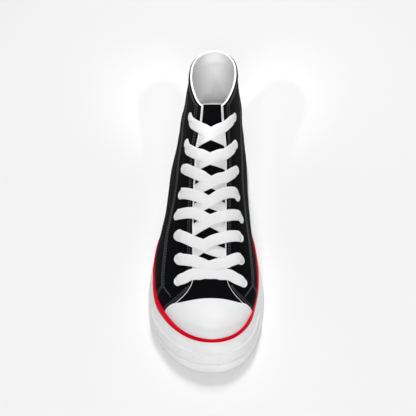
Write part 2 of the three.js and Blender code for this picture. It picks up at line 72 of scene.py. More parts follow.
# Sections of the last: back, low, front, top, half, keel, ridge, belly, under, over, twist
LAST_ROWS = [
    (0.053, UNDER, 0.053, 0.476, 1.000, 0.156, 0.156, 0.5, 5.0, 2.5, 3),
    (0.099, UNDER, 0.099, 0.491, 1.000, 0.12, 0.149, 0.5, 5.0, 2.3, 3),
    (0.159, UNDER, 0.156, 0.532, 1.003, 0.071, 0.136, 0.48, 5.0, 2.05, 3),
    (0.232, UNDER, 0.219, 0.626, 1.005, 0.033, 0.12, 0.45, 4.6, 2.0, 3),
    (0.311, UNDER, 0.285, 0.752, 1.000, 0.009, 0.091, 0.42, 4.2, 1.95, 3),
    (0.397, UNDER, 0.348, 0.879, 0.985, -0.007, 0.076, 0.38, 4.0, 1.85, 3),
    (0.483, UNDER, 0.404, 1.0, 0.915, -0.02, 0.073, 0.36, 3.9, 1.8, 2.0),
    (0.576, UNDER, 0.454, 1.198, 0.840, -0.016, 0.076, 0.4, 3.6, 1.8, 1.4),
    (0.672, UNDER, 0.493, 1.373, 0.792, -0.02, 0.084, 0.46, 3.5, 1.8, 1.3),
    (0.768, UNDER, 0.526, 1.531, 0.766, -0.018, 0.091, 0.46, 3.4, 1.85, 1.2),
    (0.861, UNDER, 0.551, 1.661, 0.720, -0.02, 0.1, 0.49, 3.7, 1.9, 1),
    (0.939, 0.058, 0.57, 1.768, 0.682, -0.012, 0.109, 0.47, 3.4, 1.95, 1),
    (0.979, 0.214, 0.584, 1.864, 0.652, -0.002, 0.116, 0.45, 3.4, 2.0, 1),
    (0.985, 0.447, 0.598, 1.958, 0.610, 0.02, 0.124, 0.45, 3.1, 2.0, 1),
    (0.976, 0.699, 0.609, 2.047, 0.563, 0.069, 0.131, 0.45, 2.7, 2.05, 1),
    (0.962, 0.951, 0.619, 2.136, 0.522, 0.076, 0.136, 0.46, 2.3, 2.05, 1),
    (0.947, 1.322, 0.628, 2.22, 0.484, 0.098, 0.142, 0.48, 2.15, 2.05, 1),
    (0.937, 1.661, 0.636, 2.305, 0.463, 0.115, 0.145, 0.5, 2.1, 2.1, 1),
    (0.934, 1.966, 0.642, 2.39, 0.460, 0.124, 0.149, 0.5, 2.1, 2.1, 1),
]

# Stations of the sole: station, centre, half, wall, edge
SOLE_ROWS = [
    (0, 0.156, 0.996, 1.07, 0.27),
    (0.05, 0.12, 0.996, 1.06, 0.24),
    (0.105, 0.08, 0.996, 1.03, 0.2),
    (0.17, 0.027, 0.996, 1.01, 0.175),
    (0.295, 0.006, 0.996, 1.0, 0.165),
    (0.338, -0.003, 0.996, 1.0, 0.165),
    (0.437, -0.013, 0.945, 0.985, 0.165),
    (0.507, -0.014, 0.87, 0.97, 0.165),
    (0.596, -0.01, 0.795, 0.955, 0.17),
    (0.682, -0.005, 0.757, 0.955, 0.18),
    (0.772, 0.003, 0.73, 0.97, 0.19),
    (0.861, 0.004, 0.71, 1.0, 0.2),
    (1, 0.006, 0.7, 1.03, 0.2),
]

# How the wall leans in: rise, then shares of the toe, side and heel lean
LEAN_ROWS = [
    (0, 0.1, 0.2, 0.4),
    (0.05, 0, 0, 0),
    (0.27, 0.08, 0.12, 0.1),
    (0.63, 0.45, 0.55, 0.5),
    (0.87, 0.98, 0.97, 0.95),
    (1, 1.06, 1.05, 1.05),
]

# Ends of the outline: where the toe and heel round off, and how fully
TOE_END = 0.321
TOE_ROUND = 2.15
HEEL_START = 0.861
HEEL_ROUND = 2.3
TOE_NOSE = 16.0
NOSE_LEVEL = 0.3
NOSE_ROUND = 2.4
STRIPE_START = 0.82
STRIPE_NARROWING = 0.085

# Textured strip round the toe: how far it goes and where it starts to fade, as shares of the length
BUMPER_REACH = 0.235
BUMPER_FADE = 0.18
BUMPER_HIDDEN = -0.65

# Tread: where it is cut, its smooth border, the pitch and depth of its grooves, and their zigzag
TREAD_PARTS = ((0.1, 0.45), (0.72, 0.96))
TREAD_BORDER = 7
TREAD_PITCH = 11
TREAD_DEPTH = 1.5
ZIGZAG_LENGTH = 27.5
ZIGZAG_REACH = 2.75

# A point inside the shaft, in metres
INSIDE_SHAFT = Vector((0.003, 0.06, 0.06))

# Layers of the upper, as distances from the last
QUARTER_RAISE = 0.9
BACK_STAY_RAISE = 1.7
CAP_RAISE = 1.6
CAP_TUCK = 0.75
QUARTER_TUCK = 0.05
LINING_OUT = -0.15
LINING_IN = -2.0
TONGUE_OUT = -2.8
STITCH_PROUD = 0.08
VAMP_START = 0.5

# Side view lines of the upper: share of the length, level
CAP_REAR = [(0.163, 0.43), (0.156, 0.47), (0.153, 0.51), (0.153, 0.7)]
COLLAR = [(0.5, 2.06), (0.6, 2.03), (0.634, 2.0), (0.69, 2.01), (0.75, 2.01), (0.83, 1.97),
          (0.89, 1.9), (0.935, 1.85), (1.05, 1.82)]

# Half width of the throat at a section, lateral and medial
THROAT = {
    -1: [(2.8, 16.4), (4, 14.9), (5.1, 14.3), (7, 13.7), (9.4, 12.6), (10.5, 10.9), (12.6, 9.7),
         (14.4, 9.3), (18, 9.3)],
    1: [(2.8, 15.2), (4, 15.4), (5.1, 16.3), (7, 16), (9.4, 14.7), (10.5, 13.2), (12.7, 10.7),
        (14.4, 9.7), (18, 9.7)],
}

# Front edge of the quarter: share of the way from the rubber rim up to the throat, section
QUARTER_EDGE = [(0, 2.2), (0.2, 2.14), (0.43, 2.09), (0.6, 2.13), (0.77, 2.25), (0.86, 2.37),
                (0.93, 2.53), (0.97, 2.66), (1, 2.84)]

# Sections where the throat, tongue, insole and back stay start or end, and two half widths
THROAT_START = 3.1
TONGUE_START = 2.7
TONGUE_END = 14.4
TONGUE_HALF = 30.0
INSOLE_SPAN = (0.25, 11.62)
BACK_START = 11.25
STAY_HALF = 8

# Eyelet rows: section, place out from the ridge
EYELET_ROWS = [(2.98, 0.54), (3.85, 0.52), (4.85, 0.527), (5.85, 0.54), (6.8, 0.477), (8.24, 0.449),
               (10.05, 0.417), (12.83, 0.376)]
FIRST_HOOKED_ROW = 6
EYELET_RING = 3.45
EYELET_ROLL = 1.1
EYELET_BARREL = 2.9
EYELET_FLATNESS = 0.72

# Lace strands: row it leaves, side it ends on, then its section at the near throat edge, at the crossing,
# at the far throat edge and beside its eyelet
STRANDS = [
    (1, 1, 3.2, 3.37, 3.55, 3.84),
    (1, -1, 3.19, 3.37, 3.6, 3.76),
    (2, 1, 3.95, 4.3, 4.56, 4.8),
    (2, -1, 3.92, 4.08, 4.36, 4.74),
    (3, 1, 4.9, 5.18, 5.5, 5.86),
    (3, -1, 4.97, 5.24, 5.58, 5.8),
    (4, 1, 5.78, 6.05, 6.6, 6.86),
    (4, -1, 5.91, 6.05, 6.43, 6.75),
    (5, 1, 6.71, 6.95, 7.45, 7.94),
    (5, -1, 6.87, 7.06, 7.61, 8.08),
    (6, 1, 8.14, 8.42, 8.93, 9.5),
    (6, -1, 8.33, 8.44, 8.88, 9.38),
    (7, 1, 9.96, 10.5, 11.4, 12.33),
    (7, -1, 10.08, 10.48, 11.28, 12.09),
]

# The bar across the first row: section, place out from the ridge, height
BAR = [(3.06, 0, -0.4), (3.08, 8, -0.2), (3.09, 14.3, 1.3), (3.07, 19, 1.95), (3.01, 23.3, 2.1)]

# Outer seam of the eyestay: section and share round it, lateral and medial
SEAM = {
    -1: [(15.3, 0.61), (14, 0.645), (12, 0.682), (10, 0.704), (8, 0.713), (6, 0.712), (4.4, 0.703),
         (3.08, 0.66)],
    1: [(15.5, 0.555), (14, 0.6), (12, 0.648), (10, 0.668), (8, 0.676), (6.2, 0.668), (4.4, 0.668),
        (3.15, 0.655)],
}
PATCH_ENDS = {-1: [(2.4, 0.715), (3.05, 0.5)], 1: [(2.36, 0.735), (3.07, 0.52)]}


def smooth(xs, values, x):
    """The value at x on a smooth curve through the rows."""
    i = 0
    while i < len(xs) - 2 and x > xs[i + 1]:
        i += 1

    def slope(k):
        a, b = max(k - 1, 0), min(k + 1, len(xs) - 1)
        return (values[b] - values[a]) / (xs[b] - xs[a])

    step = xs[i + 1] - xs[i]
    t = min(max((x - xs[i]) / step, 0), 1)
    rise = values[i + 1] - values[i]
    first, second = slope(i) * step, slope(i + 1) * step
    bend, turn = 3 * rise - 2 * first - second, first + second - 2 * rise
    return values[i] + first * t + bend * t * t + turn * t**3


def curve_of(rows, column=1):
    xs = [row[0] for row in rows]
    values = [row[column] for row in rows]
    return lambda x: smooth(xs, values, x)


def mix(a, b, k):
    return a + (b - a) * k


def ease(a, b, x):
    k = min(max((x - a) / (b - a), 0), 1)
    return k * k * (3 - 2 * k)


def height_of(level):
    """The height of a level, which is 1 at the instep and 2 at the top of the shaft."""
    if level <= 1:
        return level * INSTEP_HEIGHT
    return INSTEP_HEIGHT + (level - 1) * (SHAFT_HEIGHT - INSTEP_HEIGHT)


def ground_at(along):
    """How high the underside stands over the floor."""
    share = along / LENGTH
    spring = TOE_SPRING * (1 - share / 0.26) ** 2 if share < 0.26 else 0
    arch = ARCH_RISE * math.sin(math.pi * min(max((share - ARCH_START) / 0.24, 0), 1)) ** 2
    return spring + arch + HEEL_BEVEL * (max(0, (share - 0.95) / 0.05)) ** 2


def floor_at(along):
    """The height of the insole."""
    level = mix(FOREFOOT_FLOOR, HEEL_FLOOR, ease(0.4, 0.75, along / LENGTH))
    return level + ground_at(min(along, LENGTH * ARCH_START))


def outline_share(along, tip, end):
    toe_end, heel_start = TOE_END * LENGTH, HEEL_START * LENGTH
    toe = min(max((toe_end - along) / (toe_end - tip), 0), 1)
    heel = min(max((along - heel_start) / (end - heel_start), 0), 1)
    return (1 - toe**TOE_ROUND) ** (1 / TOE_ROUND) * (1 - heel**HEEL_ROUND) ** (1 / HEEL_ROUND)


LAST_NUMBERS = [
    (
        row[0] * LENGTH,
        floor_at(row[0] * LENGTH) - KEEL_SINK if row[1] is UNDER else height_of(row[1]),
        row[2] * LENGTH,
        height_of(row[3]),
    )
    + row[4:]
    for row in LAST_ROWS
]
LAST_KEYS = list(range(len(LAST_ROWS)))
LAST_COLUMNS = [[row[c] for row in LAST_NUMBERS] for c in range(11)]


@functools.lru_cache(maxsize=None)
def section(t, offset):
    """One cross section of the last, grown by an offset."""
    back, low, front, top, half, keel, ridge, belly, under, over, twist = (
        smooth(LAST_KEYS, column, t) for column in LAST_COLUMNS
    )
    tip = TOE_LEAN + RIM_WIDTH - offset
    toe_end = TOE_END * LENGTH
    first = LAST_NUMBERS[0][0]

    def shift(a):
        return toe_end - (toe_end - a) * (toe_end - tip) / (toe_end - first) if a < toe_end else a

    back, front = shift(back), shift(front)
    nose = min(max(1 - (front - tip) / TOE_NOSE, 0), 1)
    nose_share = (1 - nose**NOSE_ROUND) ** (1 / NOSE_ROUND)
    nose_height = NOSE_LEVEL * INSTEP_HEIGHT
    top = nose_height + (top - nose_height) * nose_share
    span = math.hypot(front - back, top - low)
    lift_y, lift_z = (front - back) / span * offset, (top - low) / span * offset
    rounding = outline_share(back, tip, 2 * LENGTH) if t < 9 else 1
    widest = (half * LAST_HALF + offset) * rounding
    return (
        keel * HALF_BALL, back - lift_y, low - lift_z,
        ridge * HALF_BALL, front + lift_y, top + lift_z,
        widest, belly, under, over, twist,
    )


def last_point(t, share, side, offset):
    """A point of the last's surface: share runs from 0 at the bottom to 1 at the ridge."""
    kx, ky, kz, rx, ry, rz, widest, belly, under, over, twist = section(t, offset)
    power = 2 / (under if share < 0.5 else over)
    out = max(math.sin(math.pi * share), 0) ** power
    up = abs(math.cos(math.pi * share)) ** power
    rise = belly * (1 - up) if share < 0.5 else belly + (1 - belly) * up
    centre = kx + (rx - kx) * rise**twist
    x = centre if share <= 0 or share >= 1 else centre + side * widest * out
    return Vector((x, mix(ky, ry, rise) - LENGTH / 2, mix(kz, rz, rise)))


def along_of(p):
    return p.y + LENGTH / 2


def root(reach, low, high):
    """Where a rising function crosses zero."""
    for _ in range(26):
        middle = (low + high) / 2
        if reach(middle) < 0:
            low = middle
        else:
            high = middle
    return (low + high) / 2


SOLE_AT = [curve_of(SOLE_ROWS, c) for c in range(1, 5)]
LEAN_AT = [curve_of(LEAN_ROWS, c) for c in range(1, 4)]
THROAT_AT = {side: curve_of(rows) for side, rows in THROAT.items()}
FRONT_AT = curve_of(QUARTER_EDGE)


def sole_ring_point(share, side, rise_of, proud=0.0, lift=0.0):
    """A point of the rubber wall, at a share of the way along it."""
    centre, half, wall, edge = (column(share) for column in SOLE_AT)
    rise = rise_of(edge)
    toe, flare, heel = (LEAN_AT[c](rise) * lean for c, lean in enumerate((TOE_LEAN, SIDE_FLARE, HEEL_LEAN)))
    tip, end = toe - proud, LENGTH - heel + proud
    along = mix(tip, end, share)
    width = (half * HALF_BALL - flare + proud) * outline_share(along, tip, end)
    z = ground_at(min(max(along, 0), LENGTH)) + rise * wall * WALL_HEIGHT + lift
    return Vector((centre * HALF_BALL + side * width, along - LENGTH / 2, z))


def outsole_rise(share):
    return lambda edge: edge * share


def wall_rise(share):
    return lambda edge: edge + (1 - edge) * share


@functools.lru_cache(maxsize=None)
def rim_top(along):
    toe, heel = LEAN_AT[0](1) * TOE_LEAN, LEAN_AT[2](1) * HEEL_LEAN
    share = min(max((along - toe) / (LENGTH - toe - heel), 0), 1)
    return ground_at(along) + SOLE_AT[2](share) * WALL_HEIGHT


def side_line(rows):
    """A side view line as the length at a height."""
    pairs = sorted((height_of(level), share * LENGTH) for share, level in rows)
    return curve_of(pairs)


CAP_LINE = side_line([(0.163, 0.1)] + CAP_REAR)
COLLAR_LINE = curve_of([(share * LENGTH, height_of(level)) for share, level in COLLAR])


@functools.lru_cache(maxsize=None)
def low_share(t, to_floor):
    """Where a section dips below the rubber rim, or below the insole's top."""

    def above(share):
        p = last_point(t, share, 1, 0.0)
        along = along_of(p)
        return p.z - (floor_at(along) - 1.0 if to_floor else rim_top(along) - 7.0)

    if above(0.0) > 0:
        return 0.0
    return root(above, 0.0, 0.995)


@functools.lru_cache(maxsize=None)
def throat_share(t, side):
    ridge, widest = section(t, 0.0)[3], section(t, 0.0)[6]
    half = min(THROAT_AT[side](t), widest * 0.98)
    return root(lambda s: half - abs(last_point(t, s, side, 0.0).x - ridge), 0.55, 0.999)


def quarter_share(t, w, side, to_floor=False):
    return mix(low_share(t, to_floor), throat_share(t, side), w)


@functools.lru_cache(maxsize=None)
def quarter_span(w, side, to_floor=False):
    """The first and last section of the quarter at a share up it."""

    def collar(t):
        p = last_point(t, quarter_share(t, w, side, to_floor), side, 0.0)
        return p.z - COLLAR_LINE(along_of(p))

    return FRONT_AT(w), root(collar, 11.0, 18.0)


def shell_point(t, share, side, offset):
    """A point of a layer of the upper, which tucks in behind the rubber rim."""
    p = last_point(t, share, side, offset)
    rim = rim_top(along_of(p))
    if offset <= 0 or p.z > rim + 8:
        return p
    tucked = last_point(t, share, side, CAP_TUCK if offset == CAP_RAISE else QUARTER_TUCK)
    return tucked.lerp(p, ease(rim - 0.5, rim + 7, p.z))


# Step of the lining at its back seam, and its folds: height, reach, depth
LINING_SEAM = 0.7
LINING_FOLDS = [(74, 3.0, 2.3), (86, 2.6, 2.1), (94, 4, 0.9), (141, 4, 0.8)]

# Soft troughs and ridges of the canvas, placed one by one: side, along, height, reach, tall, depth
DENTS = [
    (-1, 228, 92, 26, 9, -0.55),
    (-1, 238, 112, 24, 10, 0.35),
    (-1, 205, 74, 30, 8, 0.3),
    (-1, 262, 84, 12, 12, -0.4),
    (1, 226, 96, 24, 9, -0.5),
    (1, 240, 116, 22, 10, 0.35),
    (1, 204, 78, 28, 8, 0.3),
    (1, 262, 88, 12, 12, -0.4),
    (-1, 120, 60, 14, 12, -0.3),
    (1, 118, 58, 14, 12, -0.3),
    (0, 86, 62, 8, 20, -0.25),
]


def dents(p, side):
    """How far the canvas stands out or in at a point."""
    total = 0.0
    for at_side, along, height, reach, tall, depth in DENTS:
        if at_side in (0, side):
            a = (along_of(p) - along) / reach
            h = (p.z - height) / tall
            total += depth * math.exp(-a * a - h * h)
    return total


def quarter_point(side, u, w, offset, to_floor=False, extra=0.0):
    first, final = quarter_span(w, side, to_floor)
    t = mix(first, final, u) + extra
    return shell_point(t, quarter_share(t, w, side, to_floor), side, offset)


def surface_point(t, x, offset):
    """The point of the surface that lies out from the ridge by a signed x."""
    cut = section(t, offset)
    power = cut[9] / 2
    out, p = x, Vector((cut[3], cut[4] - LENGTH / 2, cut[5]))
    for _ in range(7):
        angle = math.pi - math.asin(min(abs(out) / cut[6], 1) ** power)
        p = last_point(t, angle / math.pi, 1 if out >= 0 else -1, offset)
        out += cut[3] + x - p.x
    return p


def surface_normal(t, x, offset):
    ahead = surface_point(t + 0.03, x, offset) - surface_point(t - 0.03, x, offset)
    across = surface_point(t, x + 1, offset) - surface_point(t, x - 1, offset)
    return across.cross(ahead).normalized()


def select_only(obj):
    bpy.ops.object.select_all(action="DESELECT")
    obj.select_set(True)
    bpy.context.view_layer.objects.active = obj


def linked(name, data):
    """A new object of the scene."""
    obj = bpy.data.objects.new(name, data)
    bpy.context.scene.collection.objects.link(obj)
    return obj


def piece_from(name, points, faces, uvs):
    """A mesh object from points in millimetres."""
    mesh = bpy.data.meshes.new(name)
    mesh.from_pydata([p * MM for p in points], [], faces)
    layer = mesh.uv_layers.new(name="UVMap")
    for loop in mesh.loops:
        layer.data[loop.index].uv = uvs[loop.vertex_index]
    return linked(name, mesh)


def cloth_grid(name, rows, closed=False):
    """A sheet through rows of points, with its UV map in metres along the cloth."""
    count = len(rows[0])
    points = [p for row in rows for p in row]
    faces = []
    for r in range(len(rows) - 1):
        for c in range(count if closed else count - 1):
            d = (c + 1) % count
            faces.append((r * count + c, r * count + d, (r + 1) * count + d, (r + 1) * count + c))
    down = [0.0]
    middle = count // 2
    for r in range(1, len(rows)):
        down.append(down[-1] + (rows[r][middle] - rows[r - 1][middle]).length)
    uvs = []
    for r, row in enumerate(rows):
        runs = [0.0]
        for c in range(1, count):
            runs.append(runs[-1] + (row[c] - row[c - 1]).length)
        uvs += [((run - runs[middle]) * MM, down[r] * MM) for run in runs]
    return piece_from(name, points, faces, uvs)


def edit_all(obj, *steps):
    """Runs edit mode operators on the whole of a piece."""
    select_only(obj)
    bpy.ops.object.mode_set(mode="EDIT")
    bpy.ops.mesh.select_all(action="SELECT")
    for step in steps:
        step()
    bpy.ops.object.mode_set(mode="OBJECT")


def turn_out(obj, inside=None):
    """Merges doubled points and points the faces outwards, for an open sheet away from a point inside."""
    merge = functools.partial(bpy.ops.mesh.remove_doubles, threshold=1e-6)
    edit_all(obj, merge, functools.partial(bpy.ops.mesh.normals_make_consistent, inside=False))
    if inside is None:
        return
    if sum(p.normal.dot(p.center - inside) * p.area for p in obj.data.polygons) < 0:
        edit_all(obj, bpy.ops.mesh.flip_normals)


def joined(first, *others):
    """Joins pieces into the first of them."""
    select_only(first)
    for other in others:
        other.select_set(True)
    bpy.ops.object.join()
    return first


def apply_all(obj):
    select_only(obj)
    for modifier in list(obj.modifiers):
        bpy.ops.object.modifier_apply(modifier=modifier.name)


def thicken(obj, thickness, bevel=0.0):
    """Gives a sheet its wall inwards and rounds its edges."""
    solid = obj.modifiers.new("Wall", "SOLIDIFY")
    solid.thickness = thickness * MM
    solid.offset = -1
    solid.use_even_offset = False
    solid.use_rim = True
    if bevel:
        edge = obj.modifiers.new("Rounded edge", "BEVEL")
        edge.width = bevel * MM
        edge.segments = 2
        edge.limit_method = "ANGLE"
        edge.angle_limit = math.radians(50)
    apply_all(obj)


def finish_piece(obj, finish, slot, *nodes):
    """Gives a piece its finish and lets it stand for its nodes."""
    select_only(obj)
    bpy.ops.object.shade_smooth_by_angle(angle=math.radians(40))
    obj.data.materials.clear()
    obj.data.materials.append(finishes()[finish])
    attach(obj, "root")
    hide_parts(*nodes)


def cloth_piece(name, rows, inside, wall, bevel, finish, slot, node):
    """A finished sheet, whose outer face looks away from a point inside."""
    obj = cloth_grid(name, rows)
    turn_out(obj, inside)
    thicken(obj, wall, bevel)
    finish_piece(obj, finish, slot, node)


def closed_grid(name, rows):
    """A sheet closed into a tube."""
    obj = cloth_grid(name, rows, closed=True)
    turn_out(obj)
    return obj


def side_name(side):
    return "medial" if side > 0 else "lateral"


# Shader groups


def new_group(name, numbers, outputs):
    """A group with a vector, numbers with their defaults, and numbers out."""
    tree = bpy.data.node_groups.new(name, "ShaderNodeTree")
    tree.interface.new_socket(name="Vector", in_out="INPUT", socket_type="NodeSocketVector")
    for label, value in numbers.items():
        socket = tree.interface.new_socket(name=label, in_out="INPUT", socket_type="NodeSocketFloat")
        socket.default_value = value
    for label in outputs:
        tree.interface.new_socket(name=label, in_out="OUTPUT", socket_type="NodeSocketFloat")
    return tree, tree.nodes.new("NodeGroupInput"), tree.nodes.new("NodeGroupOutput")


def wire(tree, kind, settings=None, **sockets):
    """A node with its settings and inputs: a socket is linked, a number is set."""
    node = tree.nodes.new(kind)
    for key, value in (settings or {}).items():
        setattr(node, key, value)
    for key, value in sockets.items():
        index = int(key[1:]) if key[1:].isdigit() else key.replace("_", " ")
        if isinstance(value, bpy.types.NodeSocket):
            tree.links.new(value, node.inputs[index])
        else:
            node.inputs[index].default_value = value
    return node


def arithmetic(tree, operation, *values):
    sockets = {f"i{place}": value for place, value in enumerate(values)}
    return wire(tree, "ShaderNodeMath", {"operation": operation}, **sockets).outputs[0]


def noise(tree, vector, scale, detail=2.0):
    return wire(tree, "ShaderNodeTexNoise", Vector=vector, Scale=scale, Detail=detail).outputs[0]


def weave_group():
    """Threads that pass over and under each other, with painted shade in the gaps between them."""
    numbers = {"Threads per metre": 1600.0, "Slub": 0.3}
    tree, into, out = new_group("Plain weave", numbers, ("Height", "Gap shade and tone"))
    slub = arithmetic(tree, "MULTIPLY", noise(tree, into.outputs[0], 240.0), into.outputs[2])
    axes = wire(tree, "ShaderNodeSeparateXYZ", Vector=into.outputs[0])
    waves = []
    for axis in (0, 1):
        turns = arithmetic(tree, "MULTIPLY", axes.outputs[axis], into.outputs[1])
        shifted = arithmetic(tree, "ADD", turns, slub)
        waves.append(arithmetic(tree, "SINE", arithmetic(tree, "MULTIPLY", shifted, math.pi)))
    warp, weft = (arithmetic(tree, "ABSOLUTE", wave) for wave in waves)
    over = arithmetic(tree, "GREATER_THAN", arithmetic(tree, "MULTIPLY", *waves), 0.0)
    warp_top = arithmetic(tree, "MULTIPLY", warp, arithmetic(tree, "MULTIPLY_ADD", weft, 0.4, 0.6))
    weft_top = arithmetic(tree, "MULTIPLY", weft, arithmetic(tree, "MULTIPLY_ADD", warp, 0.4, 0.6))
    blend = wire(tree, "ShaderNodeMix", {"data_type": "FLOAT"}, i0=over, i2=weft_top, i3=warp_top)
    tree.links.new(blend.outputs[0], out.inputs[0])
    cloud = noise(tree, into.outputs[0], 55.0, 4.0)
    # Painted shade: the colour mask is lighter on the threads' tops and darker in the gaps between them,
    # plus a random cloudy tone
    threads = arithmetic(tree, "MULTIPLY", blend.outputs[0], 0.65)
    gap_shade_and_tone = arithmetic(tree, "MULTIPLY_ADD", cloud, 0.35, threads)
    tree.links.new(gap_shade_and_tone, out.inputs[1])
    return tree


def rubber_group():
    """Fine grain and faint cloudiness of moulded rubber."""
    tree, into, out = new_group("Rubber grain", {"Grain": 1800.0}, ("Height", "Cloud", "Roughness"))
    fine = noise(tree, into.outputs[0], into.outputs[1], 3.0)
    cloud = noise(tree, into.outputs[0], 38.0, 5.0)
    tree.links.new(fine, out.inputs[0])
    tree.links.new(cloud, out.inputs[1])
    rough = arithmetic(tree, "MULTIPLY_ADD", cloud, 0.22, 0.32)
    tree.links.new(rough, out.inputs[2])
    return tree


def diamond_group():
    """Small raised diamonds in rows, in metres of the piece's own UV map."""
    tree, into, out = new_group("Diamond texture", {"Pitch": 0.004}, ("Height",))
    axes = wire(tree, "ShaderNodeSeparateXYZ", Vector=into.outputs[0])
    ways = []
    for sign in (1.0, -1.0):
        slant = arithmetic(tree, "MULTIPLY_ADD", axes.outputs[1], sign * 1.25, axes.outputs[0])
        turns = arithmetic(tree, "DIVIDE", slant, into.outputs[1])
        ways.append(arithmetic(tree, "PINGPONG", turns, 0.5))
    slopes = arithmetic(tree, "MULTIPLY", arithmetic(tree, "MINIMUM", *ways), 3.0)
    tree.links.new(arithmetic(tree, "SMOOTH_MIN", slopes, 0.7, 0.15), out.inputs[0])
    return tree


@functools.lru_cache(maxsize=None)
def shared_groups():
    return {"weave": weave_group(), "rubber": rubber_group(), "diamond": diamond_group()}


def blank_material(name, **settings):
    material = bpy.data.materials.new(name)
    material.use_nodes = True
    tree = material.node_tree
    shader = tree.nodes["Principled BSDF"]
    for key, value in settings.items():
        shader.inputs[key.replace("_", " ")].default_value = value
    return material, tree, shader


def place_group(tree, group, **sockets):
    return wire(tree, "ShaderNodeGroup", {"node_tree": shared_groups()[group]}, **sockets)


def bump_into(tree, shader, height, strength, distance):
    bump = wire(tree, "ShaderNodeBump", Strength=strength, Distance=distance, Height=height)
    tree.links.new(bump.outputs[0], shader.inputs["Normal"])


def colour_between(tree, mask, dark, light, low=0.0, high=1.0):
    ramp = tree.nodes.new("ShaderNodeValToRGB")
    ramp.color_ramp.elements[0].position = low
    ramp.color_ramp.elements[0].color = (*dark[:3], 1)
    ramp.color_ramp.elements[1].position = high
    ramp.color_ramp.elements[1].color = (*light[:3], 1)
    tree.links.new(mask, ramp.inputs[0])
    return ramp.outputs[0]


def shaded(colour, factor):
    return tuple(min(c * factor, 1.0) for c in colour[:3])


def tinted(tree, shader, mask, colour, contrast, low, high):
    """Lets a mask vary the base colour round its middle."""
    tint = colour_between(tree, mask, shaded(colour, 1 - contrast), shaded(colour, 1 + contrast), low, high)
    tree.links.new(tint, shader.inputs["Base Color"])


def own_uv(tree):
    uv = tree.nodes.new("ShaderNodeUVMap")
    uv.uv_map = "UVMap"
    return uv.outputs[0]


def cloth_material(name, colour, threads, strength, contrast, shine=0.25, turned=0.0):
    material, tree, shader = blank_material(name, Roughness=0.85, Specular_IOR_Level=shine)
    turn = wire(tree, "ShaderNodeMapping", Vector=own_uv(tree), Rotation=(0, 0, turned))
    weave = place_group(tree, "weave", Vector=turn.outputs[0], Threads_per_metre=threads)
    # Painted shade in the weave's gaps, together with a random tone, varies the cloth's base colour
    tinted(tree, shader, weave.outputs["Gap shade and tone"], colour, contrast, 0.15, 0.8)
    bump_into(tree, shader, weave.outputs["Height"], strength, 0.25 / threads)
    return material


def rubber_material(name, colour, contrast=0.03, strength=0.12, diamonds=False, coat=0.0, shine=0.4):
    material, tree, shader = blank_material(
        name, Coat_Weight=coat, Coat_Roughness=0.35, Specular_IOR_Level=shine)
    place = tree.nodes.new("ShaderNodeTexCoord")
    grain = place_group(tree, "rubber", Vector=place.outputs["Object"])
    tinted(tree, shader, grain.outputs["Cloud"], colour, contrast, 0.3, 0.7)
    tree.links.new(grain.outputs["Roughness"], shader.inputs["Roughness"])
    height, distance = grain.outputs["Height"], 0.00012
    if diamonds:
        relief = place_group(tree, "diamond", Vector=own_uv(tree))
        height = arithmetic(tree, "MULTIPLY_ADD", height, 0.08, relief.outputs[0])
        distance, strength = 0.0009, 0.6
    bump_into(tree, shader, height, strength, distance)
    return material


@functools.lru_cache(maxsize=None)
def finishes():
    """Every finish of the shoe, from the colours in the panel."""
    colours = bpy.context.scene.sneaker_colours
    canvas, rubber, lace, lining = colours.canvas, colours.rubber, colours.lace, colours.lining
    return {
        "canvas": cloth_material("Black canvas", canvas, 1500.0, 0.55, 0.45, 0.06),
        "canvas_binding": cloth_material("Black canvas tape", canvas, 1900.0, 0.5, 0.4, 0.06, math.pi / 4),
        "thread": cloth_material("Dark grey thread", colours.thread, 2600.0, 0.4, 0.3),
        "lining": cloth_material("White lining", lining, 1700.0, 0.3, 0.03),
        "insole": cloth_material("Insole cloth", shaded(lining, 0.93), 1300.0, 0.35, 0.06),
        "lace": cloth_material("White lace knit", lace, 800.0, 0.9, 0.1, turned=math.pi / 4),
        "piping": rubber_material("White edge line", shaded(lace, 0.97), 0.02),
        "rubber": rubber_material("White sidewall rubber", rubber),
        "cap": rubber_material(
            "White toe cap rubber", shaded(rubber, 0.92), 0.015, 0.06, coat=0.03, shine=0.2),
        # Painted light: the textured strip is the sidewall's rubber made lighter, to offset the shade of its
        # raised diamonds
        "bumper": rubber_material(
            "Lightened white textured rubber", shaded(rubber, 1.03), 0.02, diamonds=True),
        "sole": rubber_material("White outsole rubber", shaded(rubber, 0.96), 0.04, 0.2),
        "stripe": rubber_material("Red pinstripe rubber", colours.stripe, 0.06, shine=0.05),
        "eyelet": rubber_material("White enamel", shaded(lace, 0.95), 0.02, 0.05, coat=0.4),
    }


# Rubber


def ring_rows(levels, stations):
    """Rings round the sole, one for each (rise, proud, lift)."""
    shares = [(1 - math.cos(math.pi * k / stations)) / 2 for k in range(stations + 1)]
    rows = []
    for level in levels:
        right = [sole_ring_point(s, 1, *level) for s in shares]
        left = [sole_ring_point(s, -1, *level) for s in shares[1:-1]]
        rows.append(right + left[::-1])
    return rows


def closed_band(name, levels):
    rows = ring_rows(levels, 110)
    return closed_grid(name, rows + [rows[0]])


def sidewall():
    """The wall from the outsole's edge up to a groove under the stripe, and its hidden back."""
    levels = [(wall_rise(0.0), -3.5, 0.4), (wall_rise(0.0), -0.6, 0.3), (wall_rise(0.012), -0.1, 0.3)]
    for k in (0.03, 0.08, 0.16, 0.25, 0.34, 0.42, 0.49, 0.56, 0.63, 0.7, 0.77):
        levels.append((wall_rise(k), 0, 0))
    levels += [(wall_rise(STRIPE_START - 0.01), -0.05, -0.1), (wall_rise(STRIPE_START), -0.5, -0.2),
               (wall_rise(STRIPE_START), -1.6, -0.2), (wall_rise(0.7), -1.7, 0), (wall_rise(0.3), -3.5, 0)]
    finish_piece(closed_band("sidewall", levels), "rubber", "white_rubber", "midsole")


